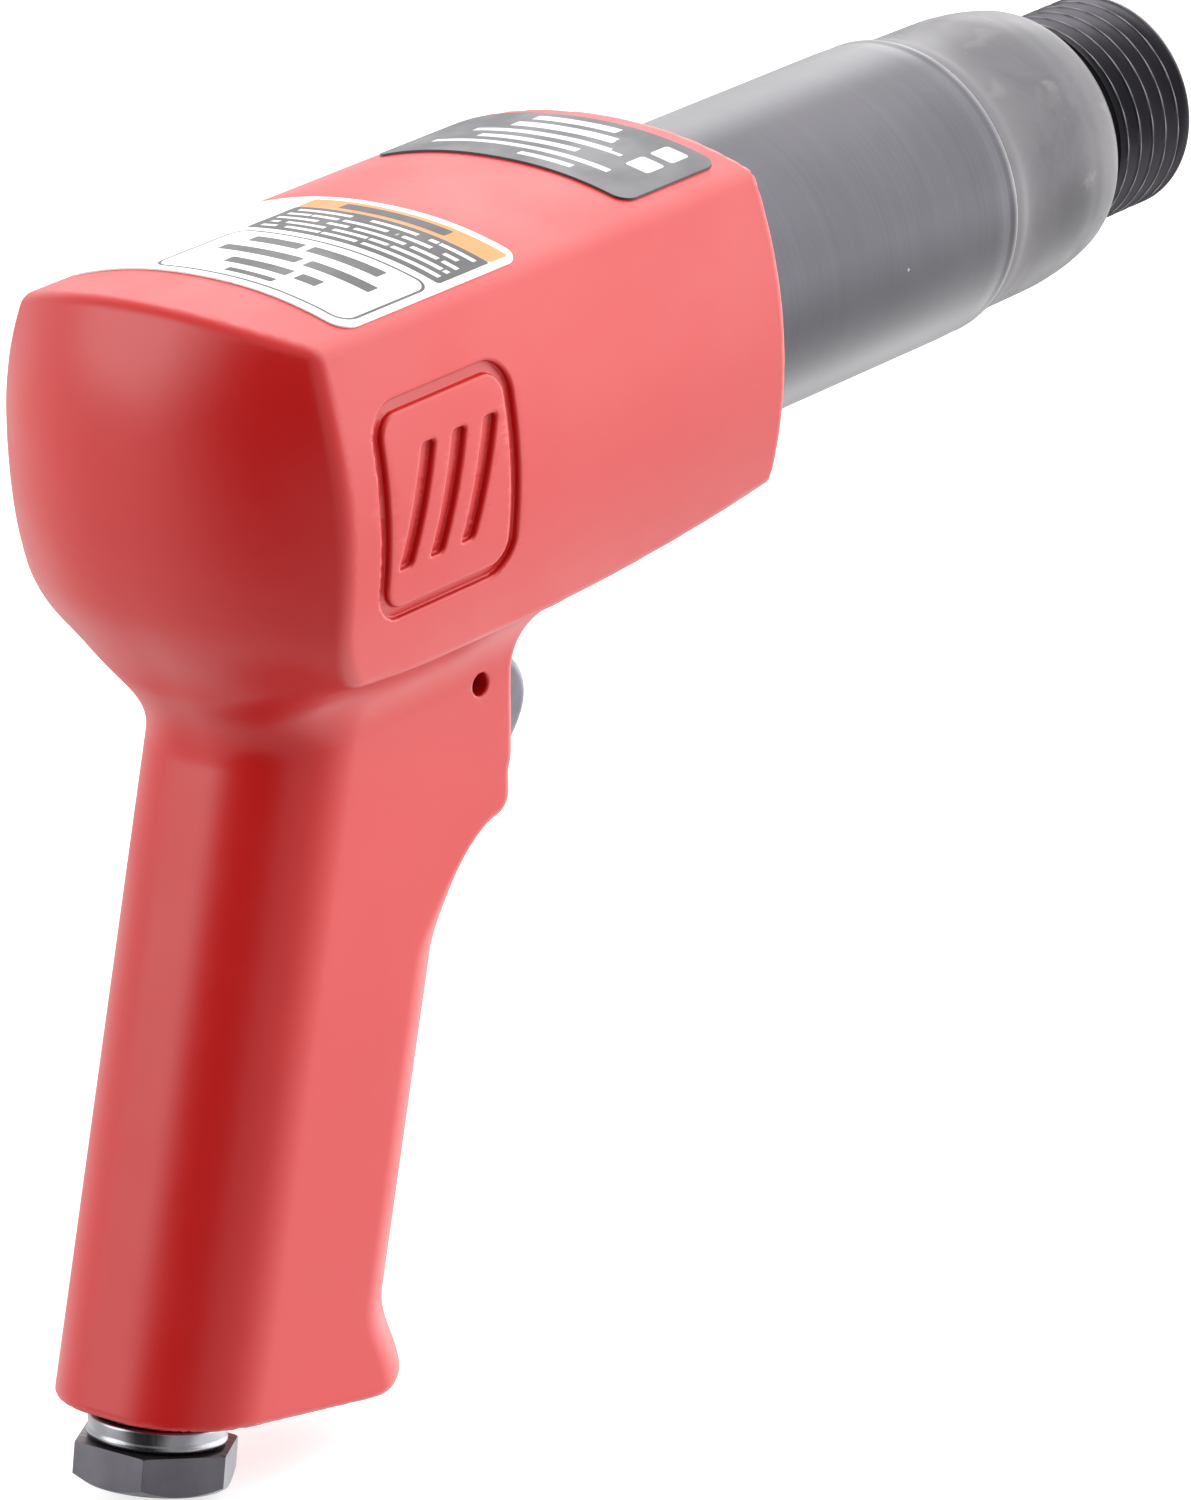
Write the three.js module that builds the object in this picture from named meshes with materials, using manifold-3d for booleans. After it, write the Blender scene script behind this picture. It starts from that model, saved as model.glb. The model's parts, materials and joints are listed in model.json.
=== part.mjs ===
// Pneumatic air hammer with a pistol grip, as separate pieces.
// Units are millimetres, +Z is up and +X points forward, out of the muzzle.
// The pieces are drawn with the muzzle at x = 0 and the barrel axis on z = 0, so everything else
// lies at negative x. The group at the end of the file carries them to the part's own origin,
// which is the middle of the footprint, on the ground.
import * as THREE from "three";
import { mergeVertices } from "three/addons/utils/BufferGeometryUtils.js";
import Module from "manifold-3d";

const wasm = await Module();
wasm.setup();

// ---- driving dimensions -------------------------------------------------------------------
const FIT = 0.3; // gap kept between neighbouring pieces
const ROUND = 48; // sides of a large turned piece
const FINE = 24; // sides of a small turned piece

const BORE_RADIUS = 9.5; // the piston runs in this
const SHANK_RADIUS = 5.1; // a 10.2 mm chisel shank runs in this
const SHANK_DEPTH = 34; // length of the shank bore behind the muzzle
const PISTON_LENGTH = 38;
const PISTON_REST = 2; // clearance behind the piston at the rear of its stroke

const THREAD_RADIUS = 14.9; // crests of the nose thread, which takes a retainer
const THREAD_DEPTH = 1.7;
const THREAD_PITCH = 2.9;
const THREAD_TURNS = 5;
const NOSE_LAND = 1.9; // plain land in front of the thread
const HEAD_FRONT = 20.6; // distance from the muzzle to the rim of the cylinder head
const HEAD_RADIUS = 19.4;
const HEAD_SWELL = 20.2; // the head swells to this radius where it meets the sleeve
const HEAD_BACK = 51.5; // end of the land that centres the sleeve's front

const TUBE_RADIUS = 14.2; // of the cylinder's wall under the sleeve
const SLEEVE_RADIUS = 20.6;
const SLEEVE_INNER = 17.6;
const SLEEVE_FRONT = 48.6;
const SLEEVE_BACK = 139;

const BODY_FRONT = 108; // front face of the housing
const DOME_FRONT = 192; // where the side faces run into the domed end
const BODY_BACK = 206; // rear of the dome
const BODY_HALF_WIDTH = 27.4;
const EDGE_HALF_WIDTH = 23.7; // half width at the top and bottom edges of the side faces
const TOP_EDGE = 21.7;
const TOP_CROWN = 25.8;
const BOTTOM_EDGE = -20.4;
const BOTTOM_CROWN = -25.8;

const CYLINDER_BACK = 166; // rear end of the cylinder, against the valve block
const SEAT_RADIUS = 16; // of the cylinder's threaded tail and the valve parts behind it
const SEAT_BACK = 188.5; // bottom of the housing's main bore

const GRIP_HALF_WIDTH = 15;
const GRIP_RAKE = 0.32; // the grip runs back this much for each millimetre down
const GRIP_DEPTH = 40.4;
const NECK_HEIGHT = -36.5; // narrowest height of the neck under the dome
const NECK_BACK = 195.4; // rear of the grip at that height
const BASE_TILT = THREE.MathUtils.degToRad(12); // the base face and the inlet lean back by this
const BASE_POINT = [209.7, -115.2]; // where the inlet's axis meets the base face

const BOSS_FRONT = 151.6; // front face of the trigger boss
const BOSS_BOTTOM = -52.8;
const PIN_POINT = [157.3, -33.5]; // trigger pivot
const PIN_RADIUS = 1.4;
const PIN_HALF_LENGTH = 12.8;
const TRIGGER_HALF_WIDTH = 6.8;
const VALVE_HEIGHT = -47; // axis of the throttle valve
const VALVE_BORE = 6; // radius of the throttle valve's bore
const VALVE_BORE_BACK = 190.5;
const SLOT_BACK = 163; // back wall of the trigger slot
const LOCK_BACK = 152; // distance of the cylinder's lock screw behind the muzzle
const LOCK_TURN = -0.62 * Math.PI; // turn of its line about the barrel, from straight up
const LOCK_RADIUS = 2;

const HEX_ACROSS_FLATS = 19.05;
const HEX_HEIGHT = 5.2;
const COLLAR_RADIUS = 8.9;
const COLLAR_HEIGHT = 4.3;
const INLET_BORE = 5.6; // radius of the inlet hole
const INLET_WALL = 2; // the inlet bushing's wall, in the grip
const INLET_SEAT = 15; // depth of its seat
const PASSAGE_RADIUS = 4.6;
const FEED_RADIUS = 3.4;

const TOOL_FRONT = 110.65; // the muzzle stands this far in front of the origin
const AXIS_HEIGHT = 126.683; // the barrel axis stands this far above the ground

// ---- materials ------------------------------------------------------------------------------
const finish = (color, roughness, metalness) => ({ color, roughness, metalness });
const RED_PAINT = finish(0xc0201a, 0.4, 0.0);
const BLACK_STEEL = finish(0x2b2c30, 0.38, 0.8);
const NOSE_STEEL = finish(0x5a5653, 0.45, 0.8);
const BRIGHT_STEEL = finish(0xb9bbbf, 0.25, 0.9);
const DARK_STEEL = finish(0x55565b, 0.4, 0.8);
const BRASS = finish(0xb08d4a, 0.35, 0.9);
const RUBBER = finish(0x1b1b1c, 0.85, 0.0);
const LABEL_WHITE = finish(0xf2f2f0, 0.5, 0.0);
const PLATE_GREY = finish(0x3c3c40, 0.5, 0.1);

// ---- solid helpers ----------------------------------------------------------------------------
// A closed three.js geometry as a solid, facing outwards whichever way it was wound.
function solid(geometry) {
  const bare = new THREE.BufferGeometry();
  bare.setAttribute("position", geometry.getAttribute("position"));
  bare.setIndex(geometry.getIndex());
  const merged = mergeVertices(bare, 1e-4);
  const vertProperties = new Float32Array(merged.getAttribute("position").array);
  const triVerts = new Uint32Array(merged.getIndex().array);
  const make = () => new wasm.Manifold(new wasm.Mesh({ numProp: 3, vertProperties, triVerts }));
  const made = make();
  if (made.volume() > 0) return made;
  for (let i = 0; i < triVerts.length; i += 3) {
    [triVerts[i + 1], triVerts[i + 2]] = [triVerts[i + 2], triVerts[i + 1]];
  }
  return make();
}

// A solid back as a geometry for a mesh.
function geometryOf(made) {
  const mesh = made.getMesh();
  const geometry = new THREE.BufferGeometry();
  geometry.setAttribute("position", new THREE.BufferAttribute(new Float32Array(mesh.vertProperties), 3));
  geometry.setIndex(new THREE.BufferAttribute(new Uint32Array(mesh.triVerts), 1));
  geometry.computeVertexNormals();
  return geometry;
}

const cutAll = (from, tools) => tools.reduce((left, tool) => left.subtract(tool), from);
const joinAll = (pieces) => pieces.reduce((left, piece) => left.add(piece));

// A turned piece round the barrel axis. The profile is [distance behind the muzzle, radius] pairs.
function turned(profile, sides = ROUND) {
  const points = profile.map(([back, radius]) => new THREE.Vector2(radius, -back));
  const touchesAxis = profile[0][1] === 0 && profile.at(-1)[1] === 0;
  if (!touchesAxis) points.push(points[0].clone());
  return new THREE.LatheGeometry(points, sides).rotateZ(-Math.PI / 2);
}

// A plain tube or, with no inner radius, a rod between two distances behind the muzzle.
function tube(front, back, outer, inner = 0, sides = ROUND) {
  return turned([[front, inner], [front, outer], [back, outer], [back, inner]], sides);
}

// A rod standing on +Z from z = 0, for drilling along any line.
function rod(radius, length, sides = FINE) {
  return new THREE.CylinderGeometry(radius, radius, length, sides).rotateX(Math.PI / 2)
    .translate(0, 0, length / 2);
}

// A rod from one [back, height] point of the middle plane to another.
function drill(from, to, radius, sides = FINE) {
  const start = new THREE.Vector3(-from[0], 0, from[1]);
  const line = new THREE.Vector3(-to[0], 0, to[1]).sub(start);
  const turn = new THREE.Quaternion().setFromUnitVectors(new THREE.Vector3(0, 0, 1),
    line.clone().normalize());
  return rod(radius, line.length(), sides).applyQuaternion(turn).translate(...start.toArray());
}

// The same piece moved from its own upright axis to the tilted inlet axis under the grip.
function atInlet(geometry) {
  return geometry.rotateY(BASE_TILT).translate(-BASE_POINT[0], 0, BASE_POINT[1]);
}

// A turned piece on the inlet axis. The profile is [distance below the base face, radius] pairs.
function inletTurned(profile, sides = FINE) {
  const points = profile.map(([below, radius]) => new THREE.Vector2(radius, -below));
  points.push(points[0].clone());
  return atInlet(new THREE.LatheGeometry(points, sides).rotateX(Math.PI / 2));
}

// ---- housing ------------------------------------------------------------------------------
// A closed loop of points carried through levels by a rule of its own: at each level the rule
// turns a point's place round the loop into a point of the finished surface.
function loft(loop, levels, place) {
  const geometry = new THREE.ExtrudeGeometry(new THREE.Shape(loop), {
    depth: levels.length - 1, steps: levels.length - 1, bevelEnabled: false,
  });
  const position = geometry.getAttribute("position");
  for (let i = 0; i < position.count; i++) {
    const level = levels[Math.round(position.getZ(i))];
    position.setXYZ(i, ...place(position.getX(i), position.getY(i), level));
  }
  return solid(geometry);
}

// Cross-section of the body, looking along the barrel: crowned top and bottom, bowed side faces.
function bodySection() {
  const middle = (TOP_EDGE + BOTTOM_EDGE) / 2;
  const section = new THREE.Shape();
  section.moveTo(-EDGE_HALF_WIDTH, BOTTOM_EDGE);
  section.quadraticCurveTo(0, 2 * BOTTOM_CROWN - BOTTOM_EDGE, EDGE_HALF_WIDTH, BOTTOM_EDGE);
  section.quadraticCurveTo(2 * BODY_HALF_WIDTH - EDGE_HALF_WIDTH, middle, EDGE_HALF_WIDTH, TOP_EDGE);
  section.quadraticCurveTo(0, 2 * TOP_CROWN - TOP_EDGE, -EDGE_HALF_WIDTH, TOP_EDGE);
  section.quadraticCurveTo(EDGE_HALF_WIDTH - 2 * BODY_HALF_WIDTH, middle, -EDGE_HALF_WIDTH, BOTTOM_EDGE);
  return section.getPoints(10).slice(0, -1);
}

// The body: the section drawn along the barrel and closed by a pillow-shaped dome, in which the
// corners of the section melt away.
function bodyShell() {
  const dome = [0, 0.22, 0.42, 0.6, 0.75, 0.87, 0.95, 1];
  const depth = BODY_BACK - DOME_FRONT;
  const levels = [BODY_FRONT, ...dome.map((part) => DOME_FRONT + part * depth)];
  const rounding = 0.14;
  return loft(bodySection(), levels, (y, z, back) => {
    const part = Math.max(0, (back - DOME_FRONT) / depth);
    const shrink = Math.max(0.04, (1 - part ** 2.2) ** 0.5);
    const corner = Math.abs((y * z) / (EDGE_HALF_WIDTH * TOP_EDGE));
    const melt = 1 - rounding * Math.min(1, 1.5 * part) * corner;
    return [-back, y * shrink * melt, z * shrink * melt];
  });
}

// Half width, front and back of the grip at a given height.
function gripAt(height) {
  const sideFillet = 8;
  const rise = Math.max(0, height - (BOTTOM_EDGE - 1.2 - sideFillet));
  const spread = sideFillet - Math.sqrt(Math.max(0, sideFillet ** 2 - rise ** 2));
  const back = NECK_BACK + GRIP_RAKE * (NECK_HEIGHT - height);
  const rearFillet = Math.min(8.7, 0.06 * Math.max(0, height - NECK_HEIGHT) ** 2);
  const flare = 6.5 * THREE.MathUtils.smoothstep(-height, 107, 121);
  return {
    halfWidth: GRIP_HALF_WIDTH + Math.min(spread, 6),
    back: back + rearFillet,
    front: back - GRIP_DEPTH - flare,
  };
}

// The grip: a rounded section carried down the rake, spread at the top to run into the body.
function gripColumn() {
  const levels = [-12, -22.2, -22.9, -24, -26, -29.5, NECK_HEIGHT, -50, -80, -107, -112, -117, -126];
  const sides = 32;
  const power = (value) => Math.sign(value) * Math.abs(value) ** 0.72;
  const loop = Array.from({ length: sides }, (_, i) => {
    const angle = (i / sides) * 2 * Math.PI;
    return new THREE.Vector2(power(Math.cos(angle)), power(Math.sin(angle)));
  });
  return loft(loop, levels, (along, across, height) => {
    const { halfWidth, back, front } = gripAt(height);
    return [-(back + front) / 2 + (along * (back - front)) / 2, across * halfWidth, height];
  });
}

// A side profile with rounded edges: the shape is drawn inside the finished outline by the size
// of the bevel, and the bevel brings it out to that outline and to the half width.
function beveledSlab(shape, halfWidth, bevel) {
  return new THREE.ExtrudeGeometry(shape, {
    depth: 2 * (halfWidth - bevel), bevelThickness: bevel, bevelSize: bevel, bevelSegments: 3,
    curveSegments: 6,
  }).translate(0, 0, bevel - halfWidth).rotateX(Math.PI / 2).scale(-1, 1, 1);
}

// The boss in front of the grip that holds the trigger.
function triggerBoss() {
  const bevel = 3;
  const front = BOSS_FRONT + bevel;
  const bottom = BOSS_BOTTOM + bevel;
  const shape = new THREE.Shape();
  shape.moveTo(178, -15);
  shape.lineTo(front - 6, -15);
  shape.quadraticCurveTo(front, -25, front, -33);
  shape.lineTo(front, bottom + 1.2);
  shape.lineTo(front + 1.2, bottom);
  shape.lineTo(178, bottom);
  return solid(beveledSlab(shape, GRIP_HALF_WIDTH, bevel));
}

// A rod across the barrel axis towards the lower left, where the screw that locks the cylinder is.
function lockLine(from, to, radius, sides = 16) {
  return rod(radius, to - from, sides).translate(0, 0, from).rotateX(LOCK_TURN)
    .translate(-LOCK_BACK, 0, 0);
}

// Everything that is cut out of the housing casting.
function housingCuts() {
  const mainBore = turned([[BODY_FRONT - 5, 0], [BODY_FRONT - 5, SLEEVE_RADIUS + FIT],
    [SLEEVE_BACK + FIT, SLEEVE_RADIUS + FIT], [SLEEVE_BACK + FIT, SEAT_RADIUS + FIT],
    [SEAT_BACK, SEAT_RADIUS + FIT], [SEAT_BACK, 0]]);
  const slot = new THREE.BoxGeometry(SLOT_BACK - BOSS_FRONT + 20, 2 * (TRIGGER_HALF_WIDTH + FIT), 30)
    .translate(-(SLOT_BACK + BOSS_FRONT - 20) / 2, 0, -42);
  const pinHole = new THREE.CylinderGeometry(PIN_RADIUS + FIT, PIN_RADIUS + FIT, 60, 20)
    .translate(-PIN_POINT[0], 0, PIN_POINT[1]);
  const valveBore = drill([SLOT_BACK - 3, VALVE_HEIGHT], [VALVE_BORE_BACK, VALVE_HEIGHT],
    VALVE_BORE + FIT);
  const base = new THREE.BoxGeometry(90, 60, 40).translate(0, 0, -20);
  const inletSeat = atInlet(rod(INLET_BORE + INLET_WALL + FIT, INLET_SEAT + 3).translate(0, 0, -3));
  const airPassage = drill([208, -107], [187, VALVE_HEIGHT - 1], PASSAGE_RADIUS);
  const feedPassage = drill([175, VALVE_HEIGHT], [183.5, -10], FEED_RADIUS);
  const lockHole = lockLine(14, 34, LOCK_RADIUS + FIT);
  return [mainBore, slot, pinHole, valveBore, atInlet(base), inletSeat, airPassage, feedPassage,
    lockHole].map(solid);
}

function housing() {
  return cutAll(joinAll([bodyShell(), gripColumn(), triggerBoss()]), housingCuts());
}

// ---- barrel -----------------------------------------------------------------------------------
// The cylinder: shank bore and piston bore inside, threaded nose, rounded head, plain body under
// the sleeve and a tail that screws into the housing.
function cylinder() {
  const root = THREAD_RADIUS - THREAD_DEPTH;
  const outline = [[0, SHANK_RADIUS + 0.9], [0, root], [NOSE_LAND, THREAD_RADIUS - 0.8]];
  for (let turn = 0; turn < THREAD_TURNS; turn++) {
    const start = NOSE_LAND + 0.25 + turn * THREAD_PITCH;
    outline.push([start + 0.1 * THREAD_PITCH, root]);
    outline.push([start + 0.42 * THREAD_PITCH, THREAD_RADIUS]);
    outline.push([start + 0.72 * THREAD_PITCH, THREAD_RADIUS]);
  }
  const land = SLEEVE_INNER - FIT; // the sleeve is centred on lands of this radius
  const head = [[HEAD_FRONT - 3.3, root - 0.4], [HEAD_FRONT, root - 0.4], [HEAD_FRONT, 16.2],
    [HEAD_FRONT + 1, 17.3], [HEAD_FRONT + 3, 18.3], [HEAD_FRONT + 7, HEAD_RADIUS - 0.4],
    [HEAD_FRONT + 13, HEAD_RADIUS], [SLEEVE_FRONT - 5, HEAD_RADIUS + 0.1],
    [SLEEVE_FRONT - 2, HEAD_SWELL - 0.3], [SLEEVE_FRONT - FIT, HEAD_SWELL]];
  const body = [[SLEEVE_FRONT - FIT, land], [HEAD_BACK, land], [HEAD_BACK + 3, TUBE_RADIUS],
    [SLEEVE_BACK - 4, TUBE_RADIUS], [SLEEVE_BACK - 4, land], [SLEEVE_BACK - 1, land],
    [SLEEVE_BACK - 0.2, SEAT_RADIUS], [CYLINDER_BACK, SEAT_RADIUS]];
  const bore = [[CYLINDER_BACK, BORE_RADIUS], [SHANK_DEPTH + 3, BORE_RADIUS],
    [SHANK_DEPTH, SHANK_RADIUS], [1, SHANK_RADIUS]];
  const ports = [0, 1, 2, 3].map((i) => solid(rod(2.2, 20, 12).rotateX((Math.PI / 2) * (i + 0.5))
    .translate(-96, 0, 0)));
  return cutAll(solid(turned([...outline, ...head, ...body, ...bore])), ports);
}

// The exhaust sleeve round the cylinder, eased at its front end.
function barrelSleeve() {
  const front = SLEEVE_FRONT;
  const outline = [[front, SLEEVE_INNER], [front, 20.1], [front + 0.3, 20.4],
    [front + 3.4, SLEEVE_RADIUS], [SLEEVE_BACK, SLEEVE_RADIUS], [SLEEVE_BACK, SLEEVE_INNER]];
  return solid(turned(outline));
}

function piston() {
  const back = CYLINDER_BACK - PISTON_REST;
  const front = back - PISTON_LENGTH;
  const radius = BORE_RADIUS - FIT;
  const noseRadius = 5.4;
  return solid(turned([[front, 0], [front, noseRadius], [front + 4, noseRadius + 0.4], [front + 5, radius],
    [back - 0.8, radius], [back, radius - 0.8], [back, 0]], 32));
}

// ---- valve parts behind the cylinder ------------------------------------------------------------
const BLOCK_FRONT = CYLINDER_BACK + FIT;
const BLOCK_BACK = BLOCK_FRONT + 11;
const CAP_BACK = BLOCK_BACK + FIT + 7;
const CHAMBER_RADIUS = 9.2; // the valve disc floats in this pocket of the block
const CHAMBER_DEPTH = 3.8;
const DISC_THICKNESS = 2;
const DOWEL_RING = 12.8;
const DOWEL_RADIUS = 1.2;

function dowelHoles() {
  return [1, -1].map((side) => solid(tube(BLOCK_FRONT - 2, CAP_BACK + 2, DOWEL_RADIUS + FIT, 0, 12)
    .translate(0, side * DOWEL_RING, 0)));
}

function valveBlock() {
  const body = solid(tube(BLOCK_FRONT, BLOCK_BACK, SEAT_RADIUS - 0.1));
  const pocket = solid(tube(BLOCK_BACK - CHAMBER_DEPTH, BLOCK_BACK + 1, CHAMBER_RADIUS, 0, 32));
  const throat = solid(tube(BLOCK_FRONT - 1, BLOCK_BACK, 4, 0, FINE));
  const ports = [0, 1, 2, 3].map((i) => solid(tube(BLOCK_FRONT - 1, BLOCK_BACK, 1, 0, 10)
    .translate(0, 0, 6.8).rotateX((i * Math.PI) / 2 + Math.PI / 4)));
  return cutAll(body, [pocket, throat, ...ports, ...dowelHoles()]);
}

function valveDisc() {
  const front = BLOCK_BACK - CHAMBER_DEPTH + FIT;
  return solid(tube(front, front + DISC_THICKNESS, CHAMBER_RADIUS - 0.4, 2, 32));
}

function valveCap() {
  const body = solid(tube(BLOCK_BACK + FIT, CAP_BACK, SEAT_RADIUS - 0.1));
  const ports = [0, 1, 2, 3, 4, 5].map((i) => solid(tube(BLOCK_BACK - 1, CAP_BACK + 1, 1.3, 0, 10)
    .translate(0, 0, 6).rotateX((i * Math.PI) / 3)));
  return cutAll(body, [...ports, ...dowelHoles()]);
}

function dowelPin(side) {
  return solid(tube(BLOCK_FRONT + 0.5, CAP_BACK - 0.5, DOWEL_RADIUS, 0, 12)
    .translate(0, side * DOWEL_RING, 0));
}

const rearGasket = () => solid(tube(CAP_BACK + FIT, CAP_BACK + FIT + 1.5, SEAT_RADIUS - 0.2, 11, 32));

// ---- seal ring round the barrel axis or any axis turned to it ------------------------------------
function ringProfile(middle, radius, section) {
  const sides = 8;
  return Array.from({ length: sides }, (_, i) => {
    const angle = (i / sides) * 2 * Math.PI;
    return [middle + section * Math.cos(angle), radius + section * Math.sin(angle)];
  });
}

// ---- trigger group ------------------------------------------------------------------------------
// The trigger is a short lever: an eye round the pin, a round nose that the finger pulls and a toe
// that pushes the throttle stem.
function trigger() {
  const [pinBack, pinHeight] = PIN_POINT;
  const bevel = 1.5;
  const eyeRadius = 4.1 - bevel;
  const shape = new THREE.Shape();
  shape.moveTo(pinBack + eyeRadius, pinHeight);
  shape.absarc(pinBack, pinHeight, eyeRadius, 0, Math.PI * 0.7, false);
  shape.quadraticCurveTo(145, -34, 140.8, -38.2);
  shape.quadraticCurveTo(138.4, -41.4, 141.2, -44.8);
  shape.quadraticCurveTo(146, -50, 151.2, -53.2);
  shape.quadraticCurveTo(153.6, -54.2, 154.4, -51.6);
  shape.quadraticCurveTo(156.8, -45, 157, -38.6);
  shape.closePath();
  const eye = new THREE.CylinderGeometry(PIN_RADIUS + FIT, PIN_RADIUS + FIT, 40, 20)
    .translate(-pinBack, 0, pinHeight);
  return solid(beveledSlab(shape, TRIGGER_HALF_WIDTH, bevel)).subtract(solid(eye));
}

function triggerPin() {
  return solid(new THREE.CylinderGeometry(PIN_RADIUS, PIN_RADIUS, 2 * PIN_HALF_LENGTH, 20)
    .translate(-PIN_POINT[0], 0, PIN_POINT[1]));
}

const VALVE_SEAT = 179; // rear face of the throttle bushing, where the stem's head seals
const STEM_FRONT = 157.9; // tip of the stem, just behind the trigger
const STEM_RADIUS = 2;
const STEM_HEAD = 3.6; // distance of the back of the stem's head behind the seat
const onValveAxis = (geometry) => solid(geometry.translate(0, 0, VALVE_HEIGHT));

function throttleBushing() {
  const front = SLOT_BACK + 0.5;
  const groove = [front + 2.5, front + 4.9];
  const guide = STEM_RADIUS + FIT;
  const chamber = 3.4;
  const outline = [[front, guide], [front, VALVE_BORE], [groove[0], VALVE_BORE], [groove[0], 4.9],
    [groove[1], 4.9], [groove[1], VALVE_BORE], [VALVE_SEAT, VALVE_BORE], [VALVE_SEAT, chamber],
    [front + 6.5, chamber], [front + 6.5, guide]];
  const body = onValveAxis(turned(outline, FINE));
  const ports = [0, 1].map((i) => solid(rod(1.9, 20, 12).translate(0, 0, -10)
    .rotateX((i * Math.PI) / 2).translate(4.5 - VALVE_SEAT, 0, VALVE_HEIGHT)));
  return cutAll(body, ports);
}

function throttleStem() {
  const head = [VALVE_SEAT + 1.5, VALVE_SEAT + STEM_HEAD];
  return onValveAxis(turned([[STEM_FRONT, 0], [STEM_FRONT, STEM_RADIUS - 0.8],
    [STEM_FRONT + 0.8, STEM_RADIUS], [head[0], STEM_RADIUS], [head[0], 4.4], [head[1], 4.4],
    [head[1], 1.7], [head[1] + 1.8, 1.7], [head[1] + 1.8, 0]], FINE));
}

const stemSeal = () => onValveAxis(tube(VALVE_SEAT + FIT, VALVE_SEAT + 1.2, 4.3, STEM_RADIUS + FIT, FINE));

const bushingRing = () => onValveAxis(turned(ringProfile(SLOT_BACK + 4.2, 5.55, 0.6), FINE));

// The throttle spring stands between the stem's head and the end of its bore.
function throttleSpring() {
  const wireRadius = 0.4;
  const front = VALVE_SEAT + STEM_HEAD + FIT + wireRadius;
  const back = VALVE_BORE_BACK - FIT - wireRadius;
  const turns = 3.5;
  const pointsPerTurn = 10;
  const points = Array.from({ length: turns * pointsPerTurn + 1 }, (_, i) => {
    const angle = (i / pointsPerTurn) * 2 * Math.PI;
    const along = i / (turns * pointsPerTurn);
    const radius = 2.6 + 1.2 * along;
    return new THREE.Vector3(-(front + (back - front) * along), radius * Math.cos(angle),
      radius * Math.sin(angle) + VALVE_HEIGHT);
  });
  const wire = new THREE.Shape().absarc(0, 0, wireRadius, 0, 2 * Math.PI);
  return solid(new THREE.ExtrudeGeometry(wire, {
    steps: points.length * 1.5, curveSegments: 3, extrudePath: new THREE.CatmullRomCurve3(points),
  }));
}

// ---- air inlet ----------------------------------------------------------------------------------
function inletBushing() {
  const top = COLLAR_HEIGHT + FIT;
  const hexTurn = 0.04;
  const hexCorner = HEX_ACROSS_FLATS / Math.sqrt(3);
  const body = atInlet(new THREE.CylinderGeometry(hexCorner, hexCorner, HEX_HEIGHT, 6)
    .rotateX(Math.PI / 2).rotateZ(hexTurn).translate(0, 0, -top - HEX_HEIGHT / 2));
  const corner = HEX_ACROSS_FLATS / 2 + 0.2;
  const chamfer = inletTurned([[top - 1, 0], [top - 1, corner + 3], [top + HEX_HEIGHT - 1.4, corner + 1.6],
    [top + HEX_HEIGHT, corner - 0.6], [top + HEX_HEIGHT, 0]], ROUND);
  const neck = INLET_BORE + INLET_WALL - FIT;
  const tail = inletTurned([[-11, 0], [-11, neck], [top + 0.5, neck], [top + 0.5, 0]]);
  const hole = inletTurned([[-12, 0], [-12, INLET_BORE - 1], [-2, INLET_BORE - 1], [-2, INLET_BORE],
    [top + HEX_HEIGHT - 0.8, INLET_BORE + 0.2], [top + HEX_HEIGHT + 1, INLET_BORE + 1.6],
    [top + HEX_HEIGHT + 1, 0]]);
  return solid(body).intersect(solid(chamfer)).add(solid(tail)).subtract(solid(hole));
}

const inletCollar = () => solid(inletTurned([[1.4, INLET_BORE + 2], [1.4, COLLAR_RADIUS - 0.3],
  [1.8, COLLAR_RADIUS], [COLLAR_HEIGHT - 0.4, COLLAR_RADIUS], [COLLAR_HEIGHT, COLLAR_RADIUS - 0.3],
  [COLLAR_HEIGHT, INLET_BORE + 2]], 36));

const inletSeal = () => solid(inletTurned([[FIT, INLET_BORE + 2], [FIT, COLLAR_RADIUS - 0.6],
  [1.1, COLLAR_RADIUS - 0.6], [1.1, INLET_BORE + 2]], 36));

// A cup of screen in the mouth of the inlet hole.
const inletScreen = () => solid(inletTurned([[-1.7, 0], [-1.7, 4.9], [1.5, 5.2], [1.5, 4.7], [-1.2, 4.3],
  [-1.2, 0]]));

// ---- labels ---------------------------------------------------------------------------------------
const SAFETY_LABEL = { front: 153.5, back: 187.5, halfWidth: 22.4, thickness: 0.3 };
const RATING_PLATE = { front: 111.5, back: 130.5, halfWidth: 20.5, thickness: 0.4 };

// A thin plate bent over the crowned top, between two distances behind the muzzle.
function topPlate({ front, back, halfWidth, thickness }) {
  const crownAt = (y) => TOP_CROWN - (TOP_CROWN - TOP_EDGE) * (y / EDGE_HALF_WIDTH) ** 2;
  const steps = 12;
  const across = Array.from({ length: steps + 1 }, (_, i) => -halfWidth + (2 * halfWidth * i) / steps);
  const under = across.map((y) => new THREE.Vector2(y, crownAt(y) + FIT));
  const over = across.toReversed().map((y) => new THREE.Vector2(y, crownAt(y) + FIT + thickness));
  const shape = new THREE.Shape([...under, ...over]);
  return solid(new THREE.ExtrudeGeometry(shape, { depth: back - front, bevelEnabled: false })
    .rotateX(Math.PI / 2).rotateZ(Math.PI / 2).translate(-back, 0, 0));
}

// ---- lock screw -------------------------------------------------------------------------------
function lockScrew() {
  const head = 24;
  const key = lockLine(head - 2, head + 1, 1.15, 6);
  return solid(lockLine(SEAT_RADIUS + FIT, head, LOCK_RADIUS)).subtract(solid(key));
}

// ---- assembly -----------------------------------------------------------------------------------
const tool = new THREE.Group();
function place(name, made, look) {
  const mesh = new THREE.Mesh(geometryOf(made), new THREE.MeshStandardMaterial(look));
  mesh.name = name;
  tool.add(mesh);
}

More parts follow.
